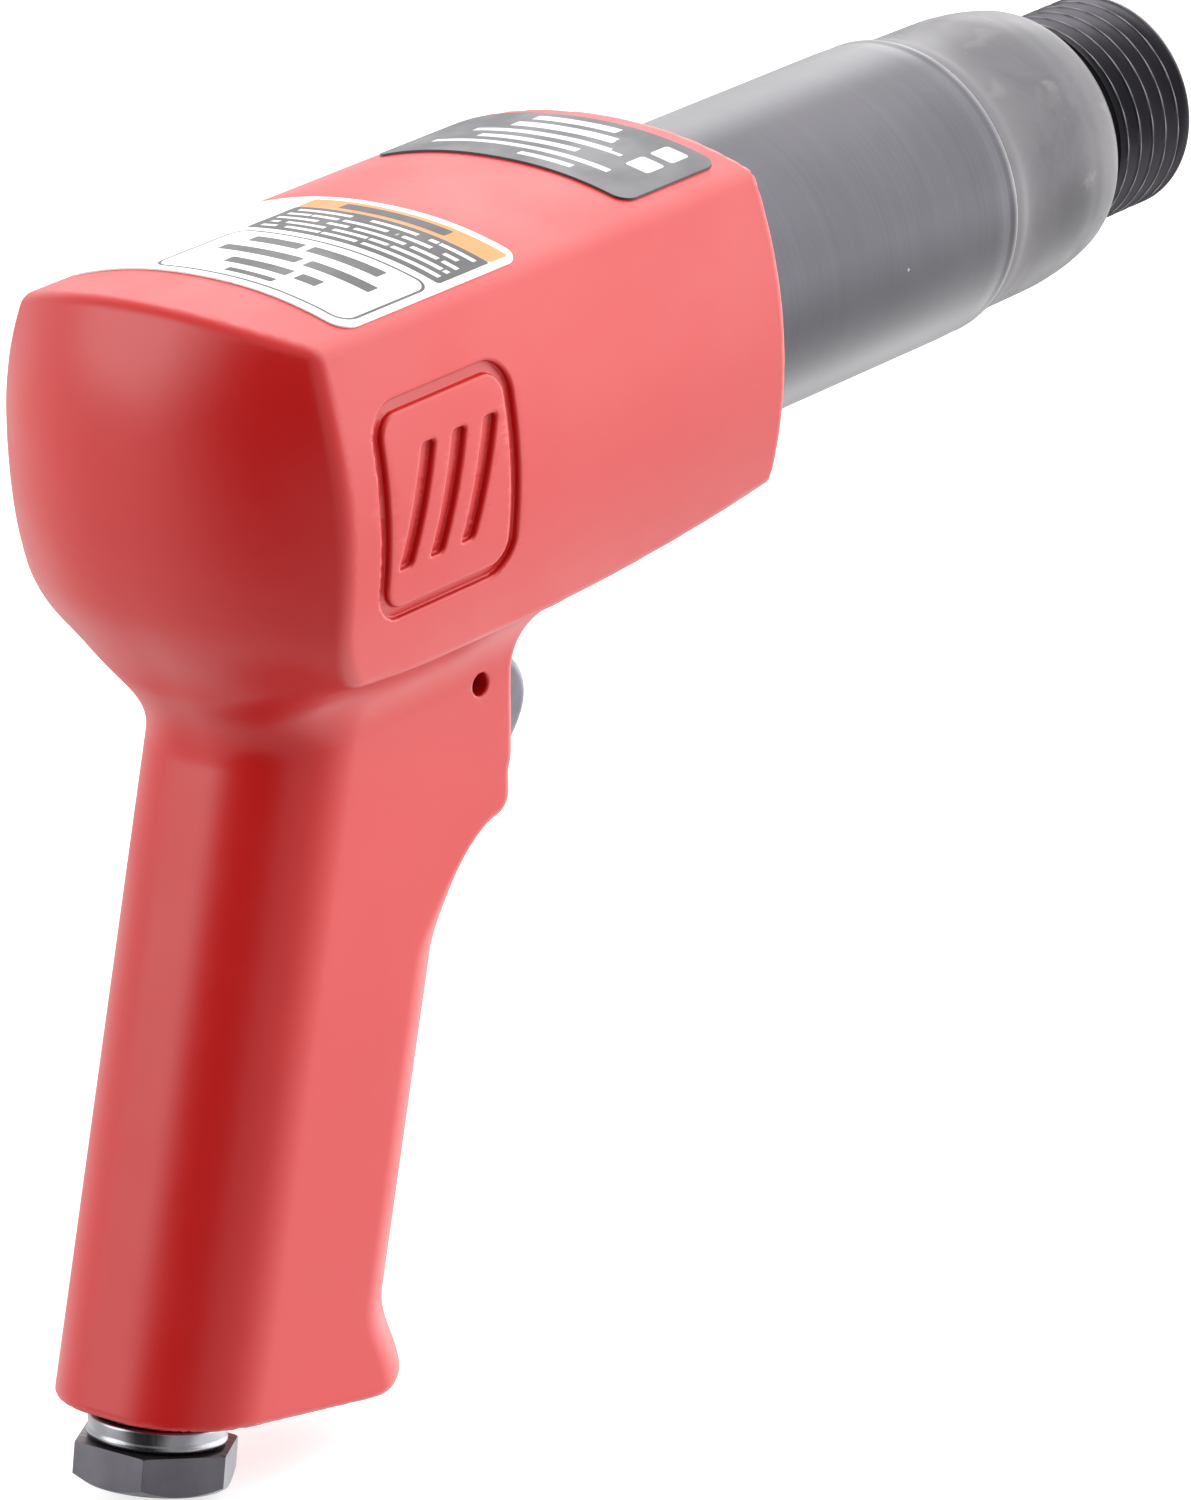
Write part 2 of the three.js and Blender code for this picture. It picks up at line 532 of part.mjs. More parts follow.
place("handle_housing", housing(), RED_PAINT);
place("cylinder", cylinder(), NOSE_STEEL);
place("barrel_sleeve", barrelSleeve(), BLACK_STEEL);
place("piston", piston(), BRIGHT_STEEL);
place("valve_block", valveBlock(), BRIGHT_STEEL);
place("valve_disc", valveDisc(), BRIGHT_STEEL);
place("valve_cap", valveCap(), BRIGHT_STEEL);
place("dowel_pin_left", dowelPin(1), BRIGHT_STEEL);
place("dowel_pin_right", dowelPin(-1), BRIGHT_STEEL);
place("rear_gasket", rearGasket(), RUBBER);
place("trigger", trigger(), DARK_STEEL);
place("trigger_pin", triggerPin(), DARK_STEEL);
place("throttle_bushing", throttleBushing(), BRASS);
place("throttle_bushing_ring", bushingRing(), RUBBER);
place("throttle_stem", throttleStem(), BRIGHT_STEEL);
place("throttle_stem_seal", stemSeal(), RUBBER);
place("throttle_spring", throttleSpring(), BRIGHT_STEEL);
place("cylinder_lock_screw", lockScrew(), DARK_STEEL);
place("inlet_bushing", inletBushing(), DARK_STEEL);
place("inlet_collar", inletCollar(), BRIGHT_STEEL);
place("inlet_seal", inletSeal(), RUBBER);
place("inlet_screen", inletScreen(), BRASS);
place("safety_label", topPlate(SAFETY_LABEL), LABEL_WHITE);
place("rating_plate", topPlate(RATING_PLATE), PLATE_GREY);

const part = new THREE.Group();
tool.position.set(TOOL_FRONT, 0, AXIS_HEIGHT);
part.add(tool);

export default part;
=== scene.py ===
"""Looks of a pistol-grip pneumatic air hammer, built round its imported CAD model.

Shapes are drawn in millimetres in the tool's own frame: x = 0 at the muzzle and negative behind
it, z = 0 on the barrel axis. Every mesh is moved to the row's frame, in metres, when it is made.
"""
import json
import math

import bmesh
import bpy
import numpy as np
from mathutils import Matrix, Vector


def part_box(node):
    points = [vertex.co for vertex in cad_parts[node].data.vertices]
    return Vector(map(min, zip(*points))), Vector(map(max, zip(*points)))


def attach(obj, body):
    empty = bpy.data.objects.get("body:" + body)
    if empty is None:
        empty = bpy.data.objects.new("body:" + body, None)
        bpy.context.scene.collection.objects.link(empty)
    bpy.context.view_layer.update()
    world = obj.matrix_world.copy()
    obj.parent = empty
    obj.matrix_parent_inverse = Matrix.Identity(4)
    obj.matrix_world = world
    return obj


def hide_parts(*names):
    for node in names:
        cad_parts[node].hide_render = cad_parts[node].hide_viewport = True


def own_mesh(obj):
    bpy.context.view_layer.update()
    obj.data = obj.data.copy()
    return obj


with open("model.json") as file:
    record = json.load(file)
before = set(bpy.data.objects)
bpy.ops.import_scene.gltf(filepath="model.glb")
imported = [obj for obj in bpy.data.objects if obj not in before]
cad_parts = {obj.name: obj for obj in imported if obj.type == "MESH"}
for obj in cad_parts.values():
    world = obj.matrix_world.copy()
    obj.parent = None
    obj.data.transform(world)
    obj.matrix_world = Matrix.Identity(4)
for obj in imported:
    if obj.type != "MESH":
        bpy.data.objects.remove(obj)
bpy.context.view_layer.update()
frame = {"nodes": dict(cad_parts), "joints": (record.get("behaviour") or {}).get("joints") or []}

MM = 0.001


def box_mm(node):
    low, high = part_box(node)
    return np.array(low) / MM, np.array(high) / MM


# ---- places taken from the frame ----
CYLINDER_LOW, CYLINDER_HIGH = box_mm("cylinder")
TOOL_FRONT = CYLINDER_HIGH[0]
AXIS_HEIGHT = (CYLINDER_LOW[2] + CYLINDER_HIGH[2]) / 2
ORIGIN = np.array([TOOL_FRONT, 0.0, AXIS_HEIGHT])


def tool_box(node):
    """A node's low and high corners in the tool's frame."""
    return tuple(corner - ORIGIN for corner in box_mm(node))


HOUSING_LOW, HOUSING_HIGH = tool_box("handle_housing")
SLEEVE_LOW, SLEEVE_HIGH = tool_box("barrel_sleeve")
PIVOT = next(j for j in frame["joints"] if j["name"] == "trigger_pivot")
PIN_X, _, PIN_Z = np.array(PIVOT["pos_m"]) / MM - ORIGIN

# ---- sizes of the housing, in millimetres ----
BODY_FRONT = HOUSING_HIGH[0]
BODY_BACK = -206.0
EDGE_HALF_WIDTH = 23.7
SIDE_BULGE = HOUSING_HIGH[1] - EDGE_HALF_WIDTH
SIDE_MIDDLE, SIDE_HALF_HEIGHT = 0.65, 21.05
TOP_CROWN, TOP_EDGE, CROWN_POWER = HOUSING_HIGH[2], 21.7, 2.2
BOTTOM_CROWN, BOTTOM_EDGE = -25.8, -23.4
CROWN_COSINE = 0.96  # keeps the crowned faces' slope near one per millimetre
TOP_ROUND, BOTTOM_ROUND, FRONT_ROUND, DOME_ROUND = 0.9, 0.6, 0.9, 1.1
DOME_SIDE_FALL, DOME_HALF_WIDTH = 11.0, 27.3
DOME_TOP_FALL, DOME_LOW_FALL = 6.0, 9.0
DOME_HALF_HEIGHT, DOME_MIDDLE, DOME_POWER = 24.3, 1.5, 2.4
GRIP_HALF_WIDTH, GRIP_DEPTH, GRIP_FLARE = 15.0, 40.7, 6.5
GRIP_RAKE, RAKE_COSINE = 0.32, 0.953
GRIP_BACK_ROUND = 13.0
NECK_BACK, NECK_HEIGHT = -195.9, -36.5
BASE_TILT = math.radians(12)
BASE_X, BASE_Z = -209.7, -115.2
BOSS_FRONT, BOSS_BOTTOM, BOSS_ROUND, BOSS_FILLET = -150.5, -52.4, 3.2, 6.0
SLOT_BACK, SLOT_HALF_WIDTH, SLOT_TOP, SLOT_BOTTOM = -163.0, 7.1, -27.0, -57.0
PIN_HOLE = 1.5
VALVE_HEIGHT = -47.0
SLEEVE_RADIUS, SLEEVE_BACK, SLEEVE_GAP = SLEEVE_HIGH[1], SLEEVE_LOW[0], 0.3
SEAT_RADIUS, SEAT_BACK = 16.3, -188.5
LOCK_TURN, LOCK_X, LOCK_RADIUS, LOCK_DEPTH = -0.62 * math.pi, -152.0, 2.3, 14.0


def on_inlet_axis(below):
    """The (x, z) point of the inlet axis this far below the base face."""
    return BASE_X - below * math.sin(BASE_TILT), BASE_Z - below * math.cos(BASE_TILT)


# Round holes in the middle plane: one end, the other end, radius
HOLES = (
    ((SLOT_BACK + 3, VALVE_HEIGHT), (-190.5, VALVE_HEIGHT), 6.3),  # throttle valve
    (on_inlet_axis(-15), on_inlet_axis(3), 7.9),                   # inlet bushing
    ((-208, -107), (-187, -48), 4.6),                              # air way up the grip
    ((-175, -47), (-183.5, -10), 3.4),                             # air way to the valve chest
)

# ---- emblem panel and its three bars, in millimetres ----
PANEL_X, PANEL_Z, PANEL_HALF_X, PANEL_HALF_Z, PANEL_CORNER = -175.2, -0.8, 12.4, 13.2, 4.0
BAR_SLANT, BAR_PITCH, BAR_HALF_WIDTH, BAR_HALF_HEIGHT = 0.35, 5.6, 1.15, 7.4
GROOVE_HALF_WIDTH, RELIEF_DEPTH = 0.75, 0.9

# ---- nose thread, in millimetres behind the muzzle ----
THREAD_CREST, THREAD_DEPTH, THREAD_PITCH, THREAD_START = 14.9, 1.7, 2.9, 2.0
THREAD_FRONT, THREAD_END = 1.6, 17.6


# ---- distance fields: negative inside, about one per millimetre ----
def round_intersection(a, b, radius):
    """What lies in both, with the edge between them rounded."""
    outside = np.hypot(np.maximum(a + radius, 0), np.maximum(b + radius, 0))
    return np.minimum(np.maximum(a, b), -radius) + outside


def round_union(a, b, radius):
    """What lies in either, with a hollow fillet between them."""
    inside = np.hypot(np.maximum(radius - a, 0), np.maximum(radius - b, 0))
    return np.maximum(np.minimum(a, b), radius) - inside


def cut(field, tool, radius=0.4):
    return round_intersection(field, -tool, radius)


def smoothstep(value, low, high):
    part = np.clip((value - low) / (high - low), 0, 1)
    return part * part * (3 - 2 * part)


def rod_field(x, y, z, start, end, radius):
    """A rod between two points of the middle plane, each (x, z)."""
    ax, az = start
    line = np.array([end[0] - ax, end[1] - az])
    length = np.hypot(*line)
    dx, dz = line / length
    along = (x - ax) * dx + (z - az) * dz
    away = np.hypot((x - ax) * dz - (z - az) * dx, y)
    return np.maximum(away - radius, np.maximum(-along, along - length))


def crown_height(y):
    """Height of the crowned top of the body."""
    return TOP_CROWN - (TOP_CROWN - TOP_EDGE) * (np.abs(y) / EDGE_HALF_WIDTH) ** CROWN_POWER


def bottom_edge(x):
    """Height of the lower edge of the side faces, which sweeps up towards both ends."""
    back = -x
    front_rise = 3.9 * np.clip((150 - back) / 42, 0, 1.2) ** 1.6
    rear_rise = 1.3 * (np.clip(back - 172, 0, 40) / 20) ** 2
    return BOTTOM_EDGE + front_rise + rear_rise


def side_reach(z):
    """Half the body's width at a height."""
    return EDGE_HALF_WIDTH + SIDE_BULGE * (1 - ((z - SIDE_MIDDLE) / SIDE_HALF_HEIGHT) ** 2)


def dome_field(x, y, z):
    """The rounded rear end of the body."""
    across, up = np.abs(y) / DOME_HALF_WIDTH, np.abs(z - DOME_MIDDLE) / DOME_HALF_HEIGHT
    fall = DOME_TOP_FALL + (DOME_LOW_FALL - DOME_TOP_FALL) * smoothstep(-z, 12, 24)
    back = BODY_BACK + DOME_SIDE_FALL * across**DOME_POWER + fall * up**DOME_POWER
    slope_y = DOME_SIDE_FALL * DOME_POWER / DOME_HALF_WIDTH * across ** (DOME_POWER - 1)
    slope_z = fall * DOME_POWER / DOME_HALF_HEIGHT * up ** (DOME_POWER - 1)
    return (back - x) / np.sqrt(1 + slope_y**2 + slope_z**2)


def body_field(x, y, z):
    side_slope = 2 * SIDE_BULGE * (z - SIDE_MIDDLE) / SIDE_HALF_HEIGHT**2
    side = (np.abs(y) - side_reach(z)) / np.hypot(1, side_slope)
    top = (z - crown_height(y)) * CROWN_COSINE
    edge = bottom_edge(x)
    under_crown = (edge - BOTTOM_CROWN) * (1 - (y / EDGE_HALF_WIDTH) ** 2)
    under = (edge - under_crown - z) * CROWN_COSINE
    section = round_intersection(side, top, TOP_ROUND)
    section = round_intersection(section, under, BOTTOM_ROUND)
    section = round_intersection(section, x - BODY_FRONT, FRONT_ROUND)
    return round_intersection(section, dome_field(x, y, z), DOME_ROUND)


def grip_back(z):
    return NECK_BACK - GRIP_RAKE * (NECK_HEIGHT - z)


def grip_field(x, y, z):
    """The grip with the trigger boss in front of it."""
    back = (grip_back(z) - x) * RAKE_COSINE
    flare = GRIP_FLARE * smoothstep(-z, 107, 121)
    front = (x - (grip_back(z) + GRIP_DEPTH + flare)) * RAKE_COSINE
    lean = 0.06 * np.maximum(-40 - z, 0) + 0.6 * smoothstep(-z, 44.5, 46.5)
    boss = round_intersection(x - BOSS_FRONT + lean, BOSS_BOTTOM - z, BOSS_ROUND)
    profile = round_union(front, boss, BOSS_FILLET)
    front_round = 2.2 + 6.3 * smoothstep(-z, 52, 66)
    lateral = np.abs(y) - GRIP_HALF_WIDTH
    column = np.maximum(round_intersection(lateral, profile, front_round),
                        round_intersection(lateral, back, GRIP_BACK_ROUND))
    below = (BASE_X - x) * math.sin(BASE_TILT) + (BASE_Z - z) * math.cos(BASE_TILT)
    below = below - 0.5 * smoothstep(-x, 205, 222)
    base_round = 0.8 + 3.4 * smoothstep(x, -187, -174)
    column = round_intersection(column, below, base_round)
    return np.maximum(column, z + 10)


def emblem_field(x, y, z):
    """A plain relief on the right side face: a grooved panel with three slanted bars."""
    along, up = x - PANEL_X, z - PANEL_Z
    qx = np.abs(along) - PANEL_HALF_X + PANEL_CORNER
    qz = np.abs(up) - PANEL_HALF_Z + PANEL_CORNER
    outline = np.hypot(np.maximum(qx, 0), np.maximum(qz, 0)) - PANEL_CORNER
    outline = outline + np.minimum(np.maximum(qx, qz), 0)
    groove = np.abs(outline) - GROOVE_HALF_WIDTH
    slanted = (along - BAR_SLANT * up) / math.hypot(1, BAR_SLANT)
    nearest = BAR_PITCH * np.clip(np.round(slanted / BAR_PITCH), -1, 1)
    bar = np.abs(slanted - nearest) - BAR_HALF_WIDTH
    bar = round_intersection(bar, np.abs(up) - BAR_HALF_HEIGHT, 0.6)
    return np.maximum(np.minimum(groove, bar), y + side_reach(z) - RELIEF_DEPTH)


def housing_field(x, y, z):
    fillet = 8.6 + 5 * smoothstep(-x, 183, 203)
    field = round_union(body_field(x, y, z), grip_field(x, y, z), fillet)
    away = np.hypot(y, z)
    bore = np.maximum(away - SLEEVE_RADIUS - SLEEVE_GAP, SLEEVE_BACK - SLEEVE_GAP - x)
    field = cut(field, bore)
    field = cut(field, np.maximum(away - SEAT_RADIUS, SEAT_BACK - x))
    slot = np.maximum(np.abs(y) - SLOT_HALF_WIDTH, SLOT_BACK - x)
    slot = np.maximum(slot, np.maximum(z - SLOT_TOP, SLOT_BOTTOM - z))
    field = cut(field, slot, 0.5)
    field = cut(field, np.hypot(x - PIN_X, z - PIN_Z) - PIN_HOLE, 0.25)
    for start, end, radius in HOLES:
        field = cut(field, rod_field(x, y, z, start, end, radius))
    across, up = -math.sin(LOCK_TURN), math.cos(LOCK_TURN)
    lock_hole = np.hypot(x - LOCK_X, y * up - z * across) - LOCK_RADIUS
    field = cut(field, np.maximum(lock_hole, LOCK_DEPTH - y * across - z * up), 0.3)
    return cut(field, emblem_field(x, y, z), 0.4)


# ---- meshing ----
def gradient(field, points, reach):
    steps = []
    for axis in range(3):
        shift = np.zeros(3)
        shift[axis] = reach
        steps.append(field(*(points + shift).T) - field(*(points - shift).T))
    return np.stack(steps, axis=1) / (2 * reach)


def axis_levels(low, high, coarse, fine=1.0, stretches=()):
    """Grid levels from low to high, with a finer step in the given (from, to) stretches."""
    levels = [low]
    while levels[-1] < high:
        is_fine = any(start < levels[-1] < end for start, end in stretches)
        levels.append(levels[-1] + (fine if is_fine else coarse))
    return np.array(levels)


def cells_back(at, others, steps):
    """Cells the given steps back from others, along the two axes across an edge."""
    cell = at.copy()
    cell[:, others] -= steps
    return cell


def surface_net(field, xs, ys, zs):
    """The zero level of a field over a grid, as points and quads, by one point for each crossed cell."""
    values = field(xs[:, None, None], ys[None, :, None], zs[None, None, :])
    values = np.broadcast_to(values, (len(xs), len(ys), len(zs)))
    inside = values < 0
    cells = tuple(n - 1 for n in inside.shape)
    grid = (xs, ys, zs)
    total = np.zeros(cells + (3,))
    count = np.zeros(cells)
    edges = []
    for axis in range(3):
        lower = tuple(slice(0, -1) if k == axis else slice(None) for k in range(3))
        upper = tuple(slice(1, None) if k == axis else slice(None) for k in range(3))
        crossed = inside[lower] != inside[upper]
        at = np.argwhere(crossed)
        a, b = values[lower][crossed], values[upper][crossed]
        part = a / (a - b)
        point = np.stack([grid[k][at[:, k]] for k in range(3)], axis=1).astype(float)
        step = grid[axis][at[:, axis] + 1] - grid[axis][at[:, axis]]
        point[:, axis] += part * step
        others = [k for k in range(3) if k != axis]
        for steps in ((0, 0), (0, 1), (1, 0), (1, 1)):
            cell = cells_back(at, others, steps)
            ok = np.all((cell >= 0) & (cell < np.array(cells)), axis=1)
            index = tuple(cell[ok].T)
            np.add.at(total, index, point[ok])
            np.add.at(count, index, 1)
        edges.append((axis, others, at, inside[lower][crossed]))
    used = count > 0
    number = np.full(cells, -1)
    number[used] = np.arange(used.sum())
    points = total[used] / count[used][:, None]
    quads = []
    for axis, others, at, starts_inside in edges:
        quad = np.stack([number[tuple(cells_back(at, others, steps).T)]
                         for steps in ((0, 0), (1, 0), (1, 1), (0, 1))], axis=1)
        turn = starts_inside if axis != 1 else ~starts_inside
        quads.append(np.where(turn[:, None], quad, quad[:, ::-1]))
    return points, np.concatenate(quads)


def settle(field, points, rounds=3, reach=0.05):
    """Moves points onto the zero level."""
    for _ in range(rounds):
        slope = gradient(field, points, reach)
        size = np.maximum((slope**2).sum(1), 0.05)
        shift = (field(*points.T) / size)[:, None] * slope
        points = points - np.clip(shift, -0.4, 0.4)
    return points


def new_mesh(name, points, faces, normals=None):
    """A smooth mesh object from points in the tool's frame, in millimetres."""
    mesh = bpy.data.meshes.new(name)
    placed = (np.asarray(points, float) + ORIGIN) * MM
    mesh.from_pydata(placed.tolist(), [], [list(map(int, face)) for face in faces])
    mesh.polygons.foreach_set("use_smooth", [True] * len(mesh.polygons))
    if normals is not None:
        mesh.normals_split_custom_set_from_vertices(normals.tolist())
    mesh.validate()
    made = bpy.data.objects.new(name, mesh)
    bpy.context.scene.collection.objects.link(made)
    return made


def applied(made):
    """The mesh of a piece with its modifiers carried out."""
    graph = bpy.context.evaluated_depsgraph_get()
    return bpy.data.meshes.new_from_object(made.evaluated_get(graph))


def thinned(points, quads, keep):
    """The same surface with only a share of its triangles, the most where it bends."""
    rough = new_mesh("rough", points, quads)
    modifier = rough.modifiers.new("thin", "DECIMATE")
    modifier.ratio = keep
    mesh = applied(rough)
    bpy.data.objects.remove(rough)
    kept = np.array([vertex.co for vertex in mesh.vertices], float) / MM - ORIGIN
    return kept, [list(polygon.vertices) for polygon in mesh.polygons]


def field_piece(name, field, xs, ys, zs, normal_reach=0.25, keep=1.0):
    """A mesh on the zero level of a field, shaded by the field's own slope."""
    points, quads = surface_net(field, xs, ys, zs)
    points = settle(field, points)
    if keep < 1:
        points, quads = thinned(points, quads, keep)
        points = settle(field, points, 1)
    normals = gradient(field, points, normal_reach)
    normals /= np.linalg.norm(normals, axis=1)[:, None]
    return new_mesh(name, points, quads, normals=normals)


def finish_piece(made, finish, *nodes, body="housing"):
    """Gives a piece the material of its finish, a (slot, material) pair whose slot is not used, puts it
    on its body and hides the CAD nodes it stands for.
    """
    slot, material = finish
    made.data.materials.clear()
    made.data.materials.append(material)
    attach(made, body)
    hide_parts(*nodes)


def tube_faces(rings, sides, closed=False):
    """Faces between rings of points. The last ring meets the first, or both ends get a cap."""
    faces = []
    for i in range(rings if closed else rings - 1):
        one, two = i * sides, (i + 1) % rings * sides
        for k in range(sides):
            m = (k + 1) % sides
            faces.append([one + k, one + m, two + m, two + k])
    if not closed:
        faces += [list(range(sides))[::-1], list(range((rings - 1) * sides, rings * sides))]
    return faces


def revolve(outline, sides, radius_shift=None):
    """A closed outline of (distance behind the muzzle, radius) turned about the barrel axis. Points
    of radius 0 are kept as rings of one point each."""
    angles = np.arange(sides) * 2 * math.pi / sides
    points, rings = [], []
    for back, radius in outline:
        if radius < 1e-9:
            rings.append([len(points)] * sides)
            points.append((-back, 0, 0))
            continue
        rings.append(list(range(len(points), len(points) + sides)))
        for angle in angles:
            r = radius + (radius_shift(back, angle, radius) if radius_shift else 0)
            points.append((-back, r * math.sin(angle), r * math.cos(angle)))
    faces = []
    count = len(rings)
    closed = outline[0][1] > 1e-9
    for i in range(count if closed else count - 1):
        one, two = rings[i], rings[(i + 1) % count]
        for k in range(sides):
            m = (k + 1) % sides
            corner = [one[k], one[m], two[m], two[k]]
            face = [v for j, v in enumerate(corner) if v != corner[j - 1]]
            if len(face) > 2:
                faces.append(face)
    return np.array(points), faces


def outward(points, faces):
    """Turns every face round if the closed mesh is inside out."""
    volume = 0.0
    for face in faces:
        a = points[face[0]]
        for i in range(1, len(face) - 1):
            volume += np.dot(a, np.cross(points[face[i]], points[face[i + 1]]))
    return faces if volume > 0 else [face[::-1] for face in faces]


def solid_piece(name, points, faces, sharp_degrees=30):
    """A closed piece with smooth shading that breaks at its sharp edges."""
    points = np.asarray(points, float)
    made = new_mesh(name, points, outward(points, faces))
    made.data.set_sharp_from_angle(angle=math.radians(sharp_degrees))
    return made


def ease_edges(made, width, sharp_degrees):
    """Bevels the edges sharper than an angle. The width is in millimetres."""
    bevel = made.modifiers.new("edges", "BEVEL")
    bevel.width = width * MM
    bevel.segments = 2
    bevel.angle_limit = math.radians(sharp_degrees)
    bevel.harden_normals = True


def apply_cut(made, cutters):
    """Cuts closed meshes, given as (points, faces), out of a piece."""
    for points, faces in cutters:
        tool = new_mesh("cutter", points, outward(np.asarray(points, float), faces))
        modifier = made.modifiers.new("cut", "BOOLEAN")
        modifier.operation = "DIFFERENCE"
        modifier.solver = "EXACT"
        modifier.object = tool
        cut_mesh = applied(made)
        made.modifiers.clear()
        made.data = cut_mesh
        bpy.data.objects.remove(tool)
    made.data.set_sharp_from_angle(angle=math.radians(30))


def rod_mesh(radius, start, end, sides=24):
    """A closed rod between two points."""
    start, end = np.array(start, float), np.array(end, float)
    along = (end - start) / np.linalg.norm(end - start)
    helper = np.array([0, 0, 1.0]) if abs(along[2]) < 0.9 else np.array([0, 1.0, 0])
    u = np.cross(along, helper)
    u /= np.linalg.norm(u)
    v = np.cross(along, u)
    ring = [u * math.cos(a) + v * math.sin(a) for a in np.arange(sides) * 2 * math.pi / sides]
    points = [start + radius * r for r in ring] + [end + radius * r for r in ring]
    return np.array(points), tube_faces(2, sides)


def at_inlet(points):
    """Points drawn about an upright axis, moved to the tilted inlet axis under the grip."""
    x, y, z = np.asarray(points, float).T
    turned_x = x * math.cos(BASE_TILT) + z * math.sin(BASE_TILT)
    turned_z = -x * math.sin(BASE_TILT) + z * math.cos(BASE_TILT)
    return np.stack([turned_x + BASE_X, y, turned_z + BASE_Z], axis=1)


# ---- materials ----
def srgb(red, green, blue):
    """An 8-bit display colour as linear light."""
    values = [c / 255 for c in (red, green, blue)]
    return tuple(c / 12.92 if c <= 0.04045 else ((c + 0.055) / 1.055) ** 2.4 for c in values)


class Nodes:
    """A short way to write a node tree."""

    def __init__(self, tree):
        self.nodes, self.links = tree.nodes, tree.links

    def put(self, value, socket):
        if isinstance(value, bpy.types.NodeSocket):
            self.links.new(value, socket)
        elif isinstance(value, (tuple, list)) and len(value) == 3 and socket.type == "RGBA":
            socket.default_value = (*value, 1)
        else:
            socket.default_value = value

    def node(self, kind, inputs=(), **settings):
        made = self.nodes.new("ShaderNode" + kind)
        for name, value in settings.items():
            setattr(made, name, value)
        for place, value in dict(inputs).items():
            self.put(value, made.inputs[place])
        return made

    def math(self, operation, *values):
        return self.node("Math", enumerate(values), operation=operation).outputs[0]

    def minus(self, one, two):
        return self.math("SUBTRACT", one, two)

    def times(self, one, two):
        return self.math("MULTIPLY", one, two)

    def spread(self, value, low, high, to_low=0.0, to_high=1.0):
        """Goes smoothly from to_low to to_high as the value goes from low to high."""
        inputs = enumerate((value, low, high, to_low, to_high))
        return self.node("MapRange", inputs, interpolation_type="SMOOTHSTEP").outputs[0]

    def mix(self, factor, one, two):
        return self.node("Mix", {0: factor, 6: one, 7: two}, data_type="RGBA").outputs[2]

    def drift(self, pattern, low, high, one, two):
        """A colour that goes from one to two as a pattern goes from low to high."""
        return self.mix(self.spread(pattern, low, high), one, two)


class Shader(Nodes):
    """A small builder of node materials over one Principled shader."""

    def __init__(self, name, roughness, metallic=0.0, specular=0.5):
        self.material = bpy.data.materials.new(name)
        self.material.use_nodes = True
        super().__init__(self.material.node_tree)
        self.surface = self.nodes["Principled BSDF"]
        self.surface.inputs["Roughness"].default_value = roughness
        self.surface.inputs["Metallic"].default_value = metallic
        self.surface.inputs["Specular IOR Level"].default_value = specular
        self.place = self.node("TexCoord").outputs["Object"]

    def stretched(self, along, across):
        """The place scaled differently along the barrel and across it, in units per metre."""
        return self.node("Mapping", {"Vector": self.place, "Scale": (along, across, across)}).outputs[0]

    def tool_place(self):
        """Distances behind the muzzle, to the left and above the barrel axis, in millimetres."""
        split = self.node("SeparateXYZ", {0: self.place})
        x, y, z = (self.times(output, 1000) for output in split.outputs)
        return self.minus(TOOL_FRONT, x), y, self.minus(z, AXIS_HEIGHT)

    def barrel_place(self):
        """Distance behind the muzzle and distance from the barrel axis, in millimetres."""
        behind, left, up = self.tool_place()
        squares = (self.math("POWER", left, 2), self.math("POWER", up, 2))
        return behind, self.math("SQRT", self.math("ADD", *squares))

    def noise(self, scale, detail=3.0, roughness=0.55, vector=None, distortion=0.0):
        inputs = {"Scale": scale, "Detail": detail, "Roughness": roughness,
                  "Distortion": distortion, "Vector": vector or self.place}
        return self.node("TexNoise", inputs).outputs["Fac"]

    def specks(self, scale, size, keep):
        """Small soft dots: 1 inside a dot. Only the share keep of the cells has one."""
        cells = self.node("TexVoronoi", {"Scale": scale, "Vector": self.place})
        dot = self.spread(cells.outputs["Distance"], size + 0.04, size)
        pick = self.node("SeparateColor", {0: cells.outputs["Color"]}).outputs[0]
        return self.times(dot, self.math("LESS_THAN", pick, keep))

    def colour(self, value):
        self.put(value, self.surface.inputs["Base Color"])

    def roughness(self, value):
        self.put(value, self.surface.inputs["Roughness"])

    def bump(self, height, depth, strength=1.0):
        """Adds relief. The depth is in metres."""
        normal = self.surface.inputs["Normal"]
        inputs = {"Strength": strength, "Distance": depth, "Height": height}
        if normal.links:
            inputs["Normal"] = normal.links[0].from_socket
        self.put(self.node("Bump", inputs).outputs[0], normal)


def red_paint():
    """Baked enamel with a slight orange peel and a few dust specks."""
    shader = Shader("red_paint", roughness=0.36, specular=0.5)
    cloud = shader.noise(14, detail=2)
    grain = shader.noise(900, detail=2)
    red = shader.drift(cloud, 0.3, 0.7, srgb(179, 14, 13), srgb(186, 17, 15))
    dust = shader.times(shader.specks(150, 0.05, 0.035), 0.55)
    shader.colour(shader.mix(dust, red, srgb(226, 168, 150)))
    shader.roughness(shader.spread(shader.noise(60, detail=4), 0.3, 0.7, 0.33, 0.41))
    shader.bump(shader.noise(420, detail=1.5), 0.00001, 0.5)
    shader.bump(grain, 0.000004, 0.5)
    return shader.material


